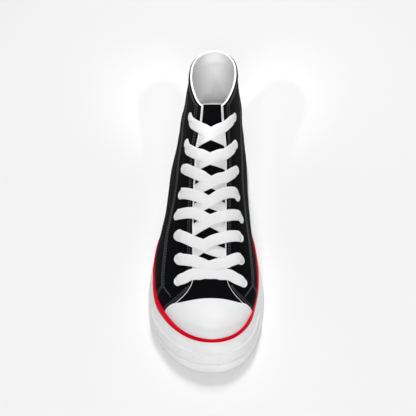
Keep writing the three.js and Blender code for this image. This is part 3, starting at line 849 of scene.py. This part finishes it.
def stripe_rise(share):
    """A level of the stripe, which narrows round the toe, where the outsole's edge stands higher."""

    def rise(edge):
        top = 1 - STRIPE_NARROWING * ease(0.18, 0.26, edge)
        return edge + (1 - edge) * mix(STRIPE_START, top, share)

    return rise


def pinstripe():
    levels = [(stripe_rise(0.0), -1.6, -0.1), (stripe_rise(0.0), -0.1, 0)]
    for k, proud in ((0.08, 0.3), (0.28, 0.5), (0.5, 0.5), (0.72, 0.4), (0.88, 0.15), (0.97, -0.35),
                     (1.0, -1.0)):
        levels.append((stripe_rise(k), proud, 0))
    levels += [(stripe_rise(1.0), -2.1, -0.1), (stripe_rise(0.88), -3.4, -0.4), (stripe_rise(0.45), -3.0, 0)]
    finish_piece(closed_band("pinstripe", levels), "stripe", "red_rubber", "foxing_stripe")


def bumper_strip():
    """The textured strip round the toe, with a rib along each edge, fading out at both ends."""
    profile = [(0.015, -0.6), (0.02, 0.6), (0.03, 1.3), (0.06, 1.5), (0.085, 1.35), (0.1, 0.35),
               (0.15, 0.3), (0.24, 0.3), (0.33, 0.3), (0.385, 0.35), (0.4, 1.3), (0.43, 1.5),
               (0.46, 1.3), (0.475, 0.5), (0.49, -0.6), (0.3, -0.7)]
    shares = [BUMPER_REACH * (k / 60) ** 1.8 for k in range(61)]
    stations = [(s, -1) for s in shares[:0:-1]] + [(s, 1) for s in shares]
    rows = []
    for share, side in stations:
        fade = ease(BUMPER_REACH, BUMPER_FADE, share)
        rows.append([sole_ring_point(share, side, wall_rise(k), mix(BUMPER_HIDDEN, proud, fade))
                     for k, proud in profile])
    finish_piece(closed_grid("toe_bumper_strip", rows), "bumper", "white_rubber", "toe_bumper")


def tread_depth(along, x, inside):
    """How deep the tread is cut at a point of the underside."""
    share = along / LENGTH
    if inside < TREAD_BORDER or not any(start <= share <= end for start, end in TREAD_PARTS):
        return 0.0
    zigzag = ZIGZAG_REACH * (4 * abs(((x / ZIGZAG_LENGTH) % 1) - 0.5) - 1)
    phase = ((along - TREAD_PARTS[0][0] * LENGTH + zigzag) / TREAD_PITCH) % 1
    near = min(phase, 1 - phase) * TREAD_PITCH
    return TREAD_DEPTH * (1 - ease(0.8, 1.5, near))


def outsole():
    """The moulded bottom with its tread, and the edge round it."""
    stations, columns = 300, 56
    rows = []
    for k in range(stations + 1):
        share = (1 - math.cos(math.pi * k / stations)) / 2
        left, right = (sole_ring_point(share, side, outsole_rise(0.0)) for side in (-1, 1))
        half = (right.x - left.x) / 2
        row = []
        for j in range(columns + 1):
            p = left.lerp(right, j / columns)
            inside = half - abs(p.x - (left.x + right.x) / 2)
            ends = min(along_of(p), LENGTH - along_of(p))
            p.z += tread_depth(along_of(p), p.x, min(inside, ends))
            row.append(p)
        rows.append(row)
    bottom = cloth_grid("outsole_tread", rows)
    levels = []
    for k, proud in ((0.0, 0), (0.04, 0.1), (0.12, 0.05), (0.22, 0), (0.45, 0), (0.7, 0), (0.9, 0),
                     (0.97, -0.05), (1.0, -0.5), (1.0, -3.5)):
        levels.append((outsole_rise(k), proud, 0))
    ring = joined(cloth_grid("outsole_edge", ring_rows(levels, stations), closed=True), bottom)
    ring.name = "rubber_outsole"
    turn_out(ring, Vector((0, 0, 0.006)))
    finish_piece(ring, "sole", "white_rubber", "outsole")


def cap_rows(first, rear_of, offset, steps, columns):
    """Rows over the toe from one side of the rim to the other."""
    rows = []
    for r in range(steps + 1):
        reach = (1 - math.cos(math.pi * r / steps / 2)) ** 0.85
        row = []
        for c in range(-columns, columns + 1):
            w = abs(c) / columns
            t = mix(first, rear_of(w), reach)
            share = mix(1.0, low_share(t, False), w)
            row.append(shell_point(t, share, -1 if c < 0 else 1, offset))
        rows.append(row)
    return rows


@functools.lru_cache(maxsize=None)
def cap_rear(w):
    def reach(t):
        p = last_point(t, mix(1.0, low_share(t, False), w), 1, 0.0)
        return along_of(p) - CAP_LINE(p.z)

    return root(reach, 0.6, 3.5)


def toe_cap():
    rows = cap_rows(0.0, cap_rear, CAP_RAISE, 56, 40)
    inside = Vector((0.008, -0.10, 0.03))
    cloth_piece("toe_cap_rubber", rows, inside, 1.5, 0.5, "cap", "white_rubber", "toe_cap")


# Canvas


def vamp_rear(w):
    """The section where the vamp ends: under the throat, and further back beside it."""
    start = THROAT_START + 0.12
    return start if w < 0.36 else mix(start, 4.2, ease(0.36, 0.45, w))


def vamp_shell(name, offset, thickness, finish, slot):
    obj = cloth_grid(name, cap_rows(VAMP_START, vamp_rear, offset, 40, 44))
    for vertex in obj.data.vertices:
        vertex.co.z += dents(vertex.co / MM, 0) * MM
    turn_out(obj, Vector((0.006, -0.09, 0.03)))
    thicken(obj, thickness)
    finish_piece(obj, finish, slot, "upper")


def quarter_rows(side, offset, to_floor=False):
    """Rows of one side of the upper, from its front edge back to the collar."""
    steps, columns = 104, 46
    rows = []
    for r in range(steps + 1):
        points = [quarter_point(side, r / steps, c / columns, offset, to_floor) for c in range(columns + 1)]
        rows.append([p + Vector((side * dents(p, side), 0, 0)) for p in points])
    return rows


def quarter(side):
    cloth_piece(f"quarter_{side_name(side)}", quarter_rows(side, QUARTER_RAISE), INSIDE_SHAFT,
                QUARTER_RAISE - 0.05, 0.25, "canvas", "black_canvas", "upper")


def lining(side):
    """The lining of one side, which shows over the collar's edge, with its back seam and folds."""
    rows = quarter_rows(side, LINING_OUT, to_floor=True)
    rows.append([p + Vector((0, 0, 0.25 + 0.9 * ease(250, 288, along_of(p)))) for p in rows[-1]])
    for row in rows:
        row[0].y += LINING_SEAM
        for p in row:
            inner = ease(252, 272, along_of(p))
            for height, tall, depth in LINING_FOLDS:
                p.y -= depth * inner * math.exp(-(((p.z - height - 0.15 * abs(p.x)) / tall) ** 2))
    cloth_piece(f"lining_{side_name(side)}", rows, INSIDE_SHAFT, LINING_OUT - LINING_IN, 0.3,
                "lining", "white_lining", "upper")


def back_point(t, across, offset):
    """A point at a distance beside the middle line of the back."""
    side = -1 if across < 0 else 1
    centre = section(t, 0.0)[0]
    share = 0.0
    if across:
        share = root(lambda s: abs(last_point(t, s, side, 0.0).x - centre) - abs(across), 0.0, 0.45)
    return last_point(t, share, side, offset)


def back_stay():
    """The strip over the back seam, whose top follows the collar."""
    top = quarter_span(0.0, 1)[1]
    rows = []
    for r in range(61):
        row = []
        for across in range(-STAY_HALF, STAY_HALF + 1):
            t = mix(BACK_START, top - 0.03 - 0.09 * (across / STAY_HALF) ** 2, r / 60)
            row.append(back_point(t, across, BACK_STAY_RAISE))
        rows.append(row)
    cloth_piece("back_stay", rows, INSIDE_SHAFT, BACK_STAY_RAISE - QUARTER_RAISE + 0.1, 0.25,
                "canvas_binding", "black_canvas", "upper")


def tongue_layer(name, offset, thickness, end, finish, slot):
    """A layer of the tongue, whose top edge drops at its corners."""
    rows = []
    for r in range(91):
        t = mix(TONGUE_START, end, r / 90)
        half = min(TONGUE_HALF, section(t, TONGUE_OUT)[6] * 0.86)
        row = []
        for c in range(-22, 23):
            drop = 0.9 * (c / 22) ** 4 * ease(0.9, 1.0, r / 90)
            row.append(surface_point(t - drop, half * c / 22, offset))
        rows.append(row)
    cloth_piece(name, rows, Vector((0.003, 0.03, 0.04)), thickness, 0.3, finish, slot, "tongue")


def insole():
    rows = []
    for r in range(121):
        t = mix(*INSOLE_SPAN, r / 120)
        edge = [last_point(t, low_share(t, True) + 0.004, side, -2.3) for side in (-1, 1)]
        row = []
        for c in range(33):
            k = c / 32
            p = edge[0].lerp(edge[1], k)
            p.z = floor_at(along_of(p)) + 0.6 * (2 * k - 1) ** 4 - 0.1
            row.append(p)
        rows.append(row)
    under = Vector((0, 0, -0.2))
    cloth_piece("insole_cloth", rows, under, 3.2, 0.0, "insole", "white_lining", "insole")


# Stitches and edge lines


def edge_path(side):
    """The quarter's front edge from the rim up, then the throat edge up to the collar."""
    front = [quarter_point(side, 0.0, k / 40, 0.55) for k in range(8, 40)]
    throat = [quarter_point(side, k / 110, 1.0, 0.55) for k in range(111)]
    return front + throat


def tube(name, path, radius, sides=8):
    rows = []
    for i, p in enumerate(path):
        tangent = (path[min(i + 1, len(path) - 1)] - path[max(i - 1, 0)]).normalized()
        across = tangent.cross(Vector((0.2, 0.1, 1))).normalized()
        up = across.cross(tangent)
        r = radius * (0.4 if i in (0, len(path) - 1) else 1)
        rows.append([
            p + (across * math.cos(2 * math.pi * k / sides) + up * math.sin(2 * math.pi * k / sides)) * r
            for k in range(sides)
        ])
    return closed_grid(name, [[path[0]] * sides] + rows + [[path[-1]] * sides])


def edge_line(side):
    radius = bpy.context.scene.sneaker_sizes.edge_line / 2 / MM
    line = tube(f"edge_line_{side_name(side)}", edge_path(side), radius)
    finish_piece(line, "piping", "white_lining", "upper")


def resample(path, spacing):
    """Points at an even spacing along a run."""
    points, carried = [path[0]], 0.0
    for a, b in zip(path, path[1:]):
        span = (b[0] - a[0]).length
        while carried + span >= spacing and span > 0:
            k = (spacing - carried) / span
            a = (a[0].lerp(b[0], k), a[1].lerp(b[1], k))
            points.append(a)
            span = (b[0] - a[0]).length
            carried = 0.0
        carried += span
    return points


def stitches(name, runs, finish="thread"):
    """One joined mesh of short threads along runs of (point, normal)."""
    sizes = bpy.context.scene.sneaker_sizes
    spacing, width = sizes.stitch / MM, sizes.thread / MM
    points, faces = [], []
    for run in runs:
        marks = resample(run, spacing)
        for (a, na), (b, nb) in zip(marks, marks[1:]):
            normal = (na + nb).normalized()
            ahead = b - a
            side = ahead.cross(normal).normalized() * (width / 2)
            lift = normal * (width * 0.55)
            base = len(points)
            points.append(a.lerp(b, 0.08) - lift * 0.4)
            for k in (0.24, 0.76):
                p = a.lerp(b, k)
                points += [p + side, p + lift, p - side, p - lift]
            points.append(a.lerp(b, 0.92) - lift * 0.4)
            for k in range(4):
                j = (k + 1) % 4
                faces.append((base, base + 1 + k, base + 1 + j))
                faces.append((base + 1 + k, base + 5 + k, base + 5 + j, base + 1 + j))
                faces.append((base + 9, base + 5 + j, base + 5 + k))
    uvs = [(p.x * MM + p.z * MM, p.y * MM) for p in points]
    obj = piece_from(name, points, faces, uvs)
    turn_out(obj)
    finish_piece(obj, finish, "black_canvas", "upper")


def quarter_run(side, at, samples):
    """A run over the quarter: at(k) gives (u, w, extra sections)."""
    points = []
    for i in range(samples + 1):
        u, w, extra = at(i / samples)
        points.append(quarter_point(side, u, w, QUARTER_RAISE + STITCH_PROUD, extra=extra))
    return run_with_normals(points)


def run_with_normals(points):
    """Pairs of a point and the way out of the shoe there."""
    return [(p, (p - Vector((3, p.y * 0.85, 42))).normalized()) for p in points]


def per_section(side, w, u=0.0):
    """Millimetres for each section step at a place of the quarter."""
    a = quarter_point(side, u, w, 0.0)
    b = quarter_point(side, u, w, 0.0, extra=0.1)
    return max((b - a).length / 0.1, 2.0)


def seam_run(side, rows, shift=0.0, samples=60):
    """A run of stitches through rows of (section, share), moved across the canvas by a distance."""
    keys = list(range(len(rows)))
    sections, shares = ([row[c] for row in rows] for c in (0, 1))
    points = []
    for i in range(samples + 1):
        k = (len(rows) - 1) * i / samples
        t, share = smooth(keys, sections, k), smooth(keys, shares, k)
        pitch = (last_point(t, share + 0.01, side, 0) - last_point(t, share - 0.01, side, 0)).length / 0.02
        points.append(shell_point(t, share - shift / pitch, side, QUARTER_RAISE + STITCH_PROUD))
    return run_with_normals(points)


def quarter_stitching(side):
    """Two rows along the front, throat and collar, and three along the outer seam and its patch."""
    runs = []
    for inset in (2.4, 4.2):
        def front(k, inset=inset):
            w = mix(0.2, 1.0 - inset / 60, k)
            return 0.0, w, inset / per_section(side, w)

        def throat(k, inset=inset):
            u = mix(0.02, 0.985, k)
            return u, 1.0 - inset / 62 - 0.02 * u, 0.0

        def collar(k, inset=inset):
            w = mix(0.0, 1.0 - inset / 55, k)
            return 1.0, w, -inset / per_section(side, w, 0.97)

        runs.append(quarter_run(side, front, 60))
        runs.append(quarter_run(side, throat, 120))
        runs.append(quarter_run(side, collar, 90))
    for shift in (-1.9, 0.0, 1.9):
        runs.append(seam_run(side, SEAM[side], shift, 90))
    corner = SEAM[side][-1]
    for back in (0.0, 0.09):
        for t, share in PATCH_ENDS[side]:
            runs.append(seam_run(side, [(corner[0] + back, corner[1]), (t + back, share)], 0.0, 16))
    stitches(f"quarter_stitches_{side_name(side)}", runs)


def back_stitching():
    """Two rows along each side of the back stay."""
    top = quarter_span(0.0, 1)[1]
    runs = []
    for across in (-6.6, -5.0, 5.0, 6.6):
        out = Vector((math.copysign(0.1, across), 1, 0.1)).normalized()
        heights = [mix(11.75, top - 0.06, r / 49) for r in range(50)]
        runs.append([(back_point(t, across, BACK_STAY_RAISE + STITCH_PROUD), out) for t in heights])
    stitches("back_stay_stitches", runs)


def tongue_stitching():
    """A black row under the top edge of the tongue."""
    t = TONGUE_END - 0.5
    run = []
    for c in range(-20, 21):
        x = c * 0.75
        run.append((surface_point(t, x, TONGUE_OUT + STITCH_PROUD), surface_normal(t, x, TONGUE_OUT)))
    stitches("tongue_stitches", [run], "canvas_binding")


# Eyelets and laces


def eyelet_place(row, side):
    t, spread = EYELET_ROWS[row]
    x = side * spread * HALF_BALL
    return surface_point(t, x, QUARTER_RAISE), surface_normal(t, x, QUARTER_RAISE)


def model_eyelet():
    """One rolled eyelet at the origin: a flattened ring over a short barrel."""
    bpy.ops.object.select_all(action="DESELECT")
    bpy.ops.mesh.primitive_torus_add(
        major_segments=40, minor_segments=14, major_radius=EYELET_RING * MM, minor_radius=EYELET_ROLL * MM)
    ring = bpy.context.active_object
    edit_all(ring, functools.partial(bpy.ops.transform.resize, value=(1, 1, EYELET_FLATNESS)))
    bpy.ops.mesh.primitive_cylinder_add(
        vertices=40, radius=EYELET_BARREL * MM, depth=3 * MM, end_fill_type="NOTHING",
        location=(0, 0, -1.5 * MM))
    barrel = bpy.context.active_object
    bpy.ops.object.transform_apply(location=True, rotation=False, scale=False)
    wall = barrel.modifiers.new("Wall", "SOLIDIFY")
    wall.thickness = 0.4 * MM
    apply_all(barrel)
    turn_out(joined(ring, barrel))
    return ring


def eyelets():
    """Copies one rolled eyelet to each hole."""
    pattern = model_eyelet()
    for row in range(len(EYELET_ROWS)):
        for side in (-1, 1):
            seat, normal = eyelet_place(row, side)
            turn = Vector((0, 0, 1)).rotation_difference(normal).to_matrix().to_4x4()
            mesh = pattern.data.copy()
            mesh.transform(Matrix.Translation(seat * MM) @ turn)
            name = f"eyelet_{side_name(side)}_{row + 1}"
            finish_piece(linked(f"rolled_{name}", mesh), "eyelet", "eyelet_enamel", name)
    bpy.data.objects.remove(pattern)


def lace_path(keys, samples):
    """A smooth run through (section, x, height, width, fold) keys."""
    order = list(range(len(keys)))
    columns = [[key[c] for key in keys] for c in range(5)]
    return [tuple(smooth(order, column, (len(keys) - 1) * i / samples) for column in columns)
            for i in range(samples + 1)]


LACE_SIDES = 16


def lace_rings(path):
    """Flat rings of the lace, square to its run and level with the canvas."""
    centres = [surface_point(t, x, h) for t, x, h, _, _ in path]
    rings, across = [], None
    for i, (t, x, h, width, thick) in enumerate(path):
        ahead = (centres[min(i + 1, len(path) - 1)] - centres[max(i - 1, 0)]).normalized()
        level = ahead.cross(surface_normal(t, x, 0.5))
        if across is None or level.length > 0.6:
            across = level
        across = (across - ahead * across.dot(ahead)).normalized()
        up = across.cross(ahead).normalized()
        ring = []
        for k in range(LACE_SIDES):
            angle = 2 * math.pi * k / LACE_SIDES
            c, s = math.cos(angle), math.sin(angle)
            a = math.copysign(abs(c) ** 0.7, c) * width / 2
            b = math.copysign(abs(s) ** 0.8, s) * thick / 2
            ring.append(centres[i] + across * a + up * b)
        rings.append(ring)
    return [[centres[0]] * LACE_SIDES] + rings + [[centres[-1]] * LACE_SIDES]


def lace_piece(name, path):
    return closed_grid(name, lace_rings(path))


# How a strand ends: share of the way to the eyelet, height, width and thickness as shares of the lace's
BLUNT_END = [(0.5, 2.25, 1.0, 1.0), (0.95, 1.9, 0.9, 1.1), (1.15, 0.5, 0.66, 1.4), (1.2, -2.4, 0.5, 1.5)]
HOOKED_END = [(0.5, 2.3, 0.84, 1.0), (0.95, 2.1, 0.64, 1.2), (1.1, 0.6, 0.52, 1.5), (1.12, -2.4, 0.46, 1.6)]


def lace_end(start, row, side, width, thick):
    """The last keys of a strand, from beside its eyelet down into it."""
    t, spread = EYELET_ROWS[row - 1]
    x = side * spread * HALF_BALL
    profile = HOOKED_END if row >= FIRST_HOOKED_ROW else BLUNT_END
    return [(mix(start[0], t, k), mix(start[1], x, k), h, width * w, thick * d) for k, h, w, d in profile]


def lace_strand(leaves, side, near, crossing, far, outer, width, thick):
    """One strand: from under an eyestay, across the tongue, over the other eyestay into its eyelet."""
    start = -side * THROAT_AT[-side](near)
    end = side * THROAT_AT[side](far)
    beside = side * (EYELET_ROWS[leaves][1] * HALF_BALL - 2.4)
    upper = side == 1
    hidden = mix(near, crossing, -7 / abs(start))
    keys = [
        (hidden, start * 1.5, -2.3, width, thick),
        (near, start, -2.1, width, thick),
        (crossing, (start + end) / 2, -0.4 if upper else -1.8, width, thick),
        (mix(crossing, far, 0.6), mix((start + end) / 2, end, 0.6), 0.7 if upper else 0.4, width, thick),
        (far, end, 1.65, width, thick),
        (outer, beside, 2.0, width, thick),
    ]
    return lace_path(keys + lace_end((outer, beside), leaves + 1, side, width, thick), 72)


def laces():
    """The bar across the first row and all strands, joined."""
    sizes = bpy.context.scene.sneaker_sizes
    width, thick = sizes.lace_width / MM, sizes.lace_thickness / MM
    right = [(t, x, h, width, thick) for t, x, h in BAR]
    right += lace_end(BAR[-1][:2], 1, 1, width, thick)
    left = [(key[0], -key[1], *key[2:]) for key in right]
    bar = lace_piece("flat_laces", lace_path(left[:0:-1] + right, 100))
    strands = [lace_piece("lace_strand", lace_strand(*strand, width, thick)) for strand in STRANDS]
    finish_piece(joined(bar, *strands), "lace", "white_lace", "laces")


# Stage

SKY_STRENGTH = 0.27
LENS = 127.8
CAMERA_PLACE = Vector((0.0598, -1.0095, 1.0425))


def camera():
    data = bpy.data.cameras.new("Camera")
    data.sensor_width = 36.0
    data.lens = LENS
    data.clip_start = 0.05
    look = Matrix.Rotation(math.radians(46.0), 4, "X") @ Matrix.Rotation(math.radians(2.36), 4, "Y")
    obj = linked("Camera", data)
    obj.matrix_world = Matrix.Translation(CAMERA_PLACE) @ look
    bpy.context.scene.camera = obj


def lamp(name, kind, place, aim, power):
    data = bpy.data.lights.new(name, kind)
    data.energy = power
    obj = linked(name, data)
    obj.location = place
    obj.rotation_euler = (Vector(aim) - Vector(place)).to_track_quat("-Z", "Y").to_euler()
    return data


def area_light(name, place, aim, size, power):
    data = lamp(name, "AREA", place, aim, power)
    data.shape = "SQUARE"
    data.size = size


def spot_light(name, place, aim, cone, power):
    data = lamp(name, "SPOT", place, aim, power)
    data.spot_size = math.radians(cone)
    data.spot_blend = 1.0
    data.shadow_soft_size = 0.06


def stage():
    """A pale floor, a white sky, soft lights, narrow ones into the collar, and the camera."""
    scene = bpy.context.scene
    scene.view_settings.view_transform = "Standard"
    scene.view_settings.look = "None"
    world = bpy.data.worlds.new("Studio")
    scene.world = world
    world.use_nodes = True
    sky = world.node_tree.nodes["Background"]
    sky.inputs[0].default_value = (1.0, 1.0, 1.0, 1)
    sky.inputs[1].default_value = SKY_STRENGTH
    bpy.ops.object.select_all(action="DESELECT")
    bpy.ops.mesh.primitive_plane_add(size=6, location=(0, 0, 0))
    floor = bpy.context.active_object
    floor.name = "studio_floor"
    material, tree, shader = blank_material("Pale studio floor", Roughness=0.9)
    place = tree.nodes.new("ShaderNodeTexCoord")
    cloud = noise(tree, place.outputs["Object"], 3.0)
    tint = colour_between(tree, cloud, (0.925, 0.925, 0.925), (0.935, 0.935, 0.935))
    tree.links.new(tint, shader.inputs["Base Color"])
    floor.data.materials.append(material)
    area_light("Light from behind", (0.03, 0.6, 1.2), (0, -0.08, 0.03), 0.35, 8.6)
    area_light("Light from the front", (0.05, -1.45, 1.45), (0, 0, 0.08), 0.6, 18.5)
    for across, power in ((-0.5, 62.0), (0.05, 34.0), (0.5, 62.0)):
        spot_light("Light into the collar", (across, -1.0, 1.3), (0.003, 0.115, 0.118), 3.4, power)
    camera()


# Panel and operators


class SneakerSizes(bpy.types.PropertyGroup):
    """Sizes of the soft parts that a user would change."""

    lace_width: bpy.props.FloatProperty(
        name="Lace width", description="Width of the flat lace", default=0.0108, unit="LENGTH")
    lace_thickness: bpy.props.FloatProperty(
        name="Lace thickness", description="Thickness of the flat lace", default=0.0013, unit="LENGTH")
    stitch: bpy.props.FloatProperty(
        name="Stitch", description="Length of one stitch with its gap", default=0.0026, unit="LENGTH")
    thread: bpy.props.FloatProperty(
        name="Thread", description="Thickness of the stitching thread", default=0.00085, unit="LENGTH")
    edge_line: bpy.props.FloatProperty(
        name="Edge line", description="Thickness of the white line along the quarters",
        default=0.00075, unit="LENGTH")


class SneakerColours(bpy.types.PropertyGroup):
    """Colours of the shoe's finishes."""

    canvas: bpy.props.FloatVectorProperty(
        name="Canvas", description="Colour of the canvas",
        size=3, subtype="COLOR", default=(0.0018, 0.002, 0.0026), min=0, max=1)
    rubber: bpy.props.FloatVectorProperty(
        name="Rubber", description="Colour of the sole and toe cap",
        size=3, subtype="COLOR", default=(0.93, 0.932, 0.935), min=0, max=1)
    stripe: bpy.props.FloatVectorProperty(
        name="Stripe", description="Colour of the pinstripe",
        size=3, subtype="COLOR", default=(0.7, 0.0004, 0.017), min=0, max=1)
    lace: bpy.props.FloatVectorProperty(
        name="Lace", description="Colour of the laces and edge lines",
        size=3, subtype="COLOR", default=(0.94, 0.94, 0.943), min=0, max=1)
    lining: bpy.props.FloatVectorProperty(
        name="Lining", description="Colour of the lining",
        size=3, subtype="COLOR", default=(0.92, 0.92, 0.922), min=0, max=1)
    thread: bpy.props.FloatVectorProperty(
        name="Thread", description="Colour of the stitching",
        size=3, subtype="COLOR", default=(0.068, 0.07, 0.075), min=0, max=1)


class SNEAKER_OT_sole(bpy.types.Operator):
    """Builds the outsole, sidewall, pinstripe and textured bumper"""

    bl_idname = "sneaker.sole"
    bl_label = "Rubber sole"

    def execute(self, context):
        outsole()
        sidewall()
        pinstripe()
        bumper_strip()
        return {"FINISHED"}


class SNEAKER_OT_toe_cap(bpy.types.Operator):
    """Builds the rubber toe cap"""

    bl_idname = "sneaker.toe_cap"
    bl_label = "Toe cap"

    def execute(self, context):
        toe_cap()
        return {"FINISHED"}


class SNEAKER_OT_upper(bpy.types.Operator):
    """Builds the canvas vamp, quarters and back stay with their linings"""

    bl_idname = "sneaker.upper"
    bl_label = "Canvas upper"

    def execute(self, context):
        vamp_shell("vamp_canvas", 0.0, 1.0, "canvas", "black_canvas")
        vamp_shell("vamp_lining", -1.1, 0.9, "lining", "white_lining")
        for side in (-1, 1):
            quarter(side)
            lining(side)
        back_stay()
        return {"FINISHED"}


class SNEAKER_OT_tongue(bpy.types.Operator):
    """Builds the canvas tongue and the insole"""

    bl_idname = "sneaker.tongue"
    bl_label = "Tongue and insole"

    def execute(self, context):
        tongue_layer("tongue_canvas", TONGUE_OUT, 1.7, TONGUE_END, "canvas", "black_canvas")
        tongue_layer("tongue_lining", TONGUE_OUT - 1.75, 1.1, TONGUE_END + 0.1, "lining", "white_lining")
        insole()
        return {"FINISHED"}


class SNEAKER_OT_stitching(bpy.types.Operator):
    """Builds the seams' stitches and the white edge lines"""

    bl_idname = "sneaker.stitching"
    bl_label = "Stitches and edge lines"

    def execute(self, context):
        for side in (-1, 1):
            edge_line(side)
            quarter_stitching(side)
        back_stitching()
        tongue_stitching()
        return {"FINISHED"}


class SNEAKER_OT_laces(bpy.types.Operator):
    """Builds the rolled eyelets and runs the flat laces through them"""

    bl_idname = "sneaker.laces"
    bl_label = "Eyelets and laces"

    def execute(self, context):
        eyelets()
        laces()
        return {"FINISHED"}


class SNEAKER_OT_stage(bpy.types.Operator):
    """Sets the floor, the light and the camera"""

    bl_idname = "sneaker.stage"
    bl_label = "Stage"

    def execute(self, context):
        stage()
        return {"FINISHED"}


OPERATORS = (SNEAKER_OT_stage, SNEAKER_OT_sole, SNEAKER_OT_toe_cap, SNEAKER_OT_upper, SNEAKER_OT_tongue,
             SNEAKER_OT_stitching, SNEAKER_OT_laces)


class SNEAKER_PT_panel(bpy.types.Panel):
    """Lists the steps that build the sneaker"""

    bl_idname = "SNEAKER_PT_panel"
    bl_label = "High top sneaker"
    bl_space_type = "VIEW_3D"
    bl_region_type = "UI"
    bl_category = "Sneaker"

    def draw(self, context):
        for group in (context.scene.sneaker_sizes, context.scene.sneaker_colours):
            for key in group.__annotations__:
                self.layout.prop(group, key)
        for operator in OPERATORS:
            self.layout.operator(operator.bl_idname)


CLASSES = (SneakerSizes, SneakerColours, *OPERATORS, SNEAKER_PT_panel)


def register():
    for cls in CLASSES:
        bpy.utils.register_class(cls)
    bpy.types.Scene.sneaker_sizes = bpy.props.PointerProperty(type=SneakerSizes)
    bpy.types.Scene.sneaker_colours = bpy.props.PointerProperty(type=SneakerColours)


def unregister():
    del bpy.types.Scene.sneaker_colours
    del bpy.types.Scene.sneaker_sizes
    for cls in reversed(CLASSES):
        bpy.utils.unregister_class(cls)


def main():
    register()
    bpy.ops.sneaker.stage()
    bpy.ops.sneaker.sole()
    bpy.ops.sneaker.toe_cap()
    bpy.ops.sneaker.upper()
    bpy.ops.sneaker.tongue()
    bpy.ops.sneaker.stitching()
    bpy.ops.sneaker.laces()


if __name__ == "__main__":
    main()
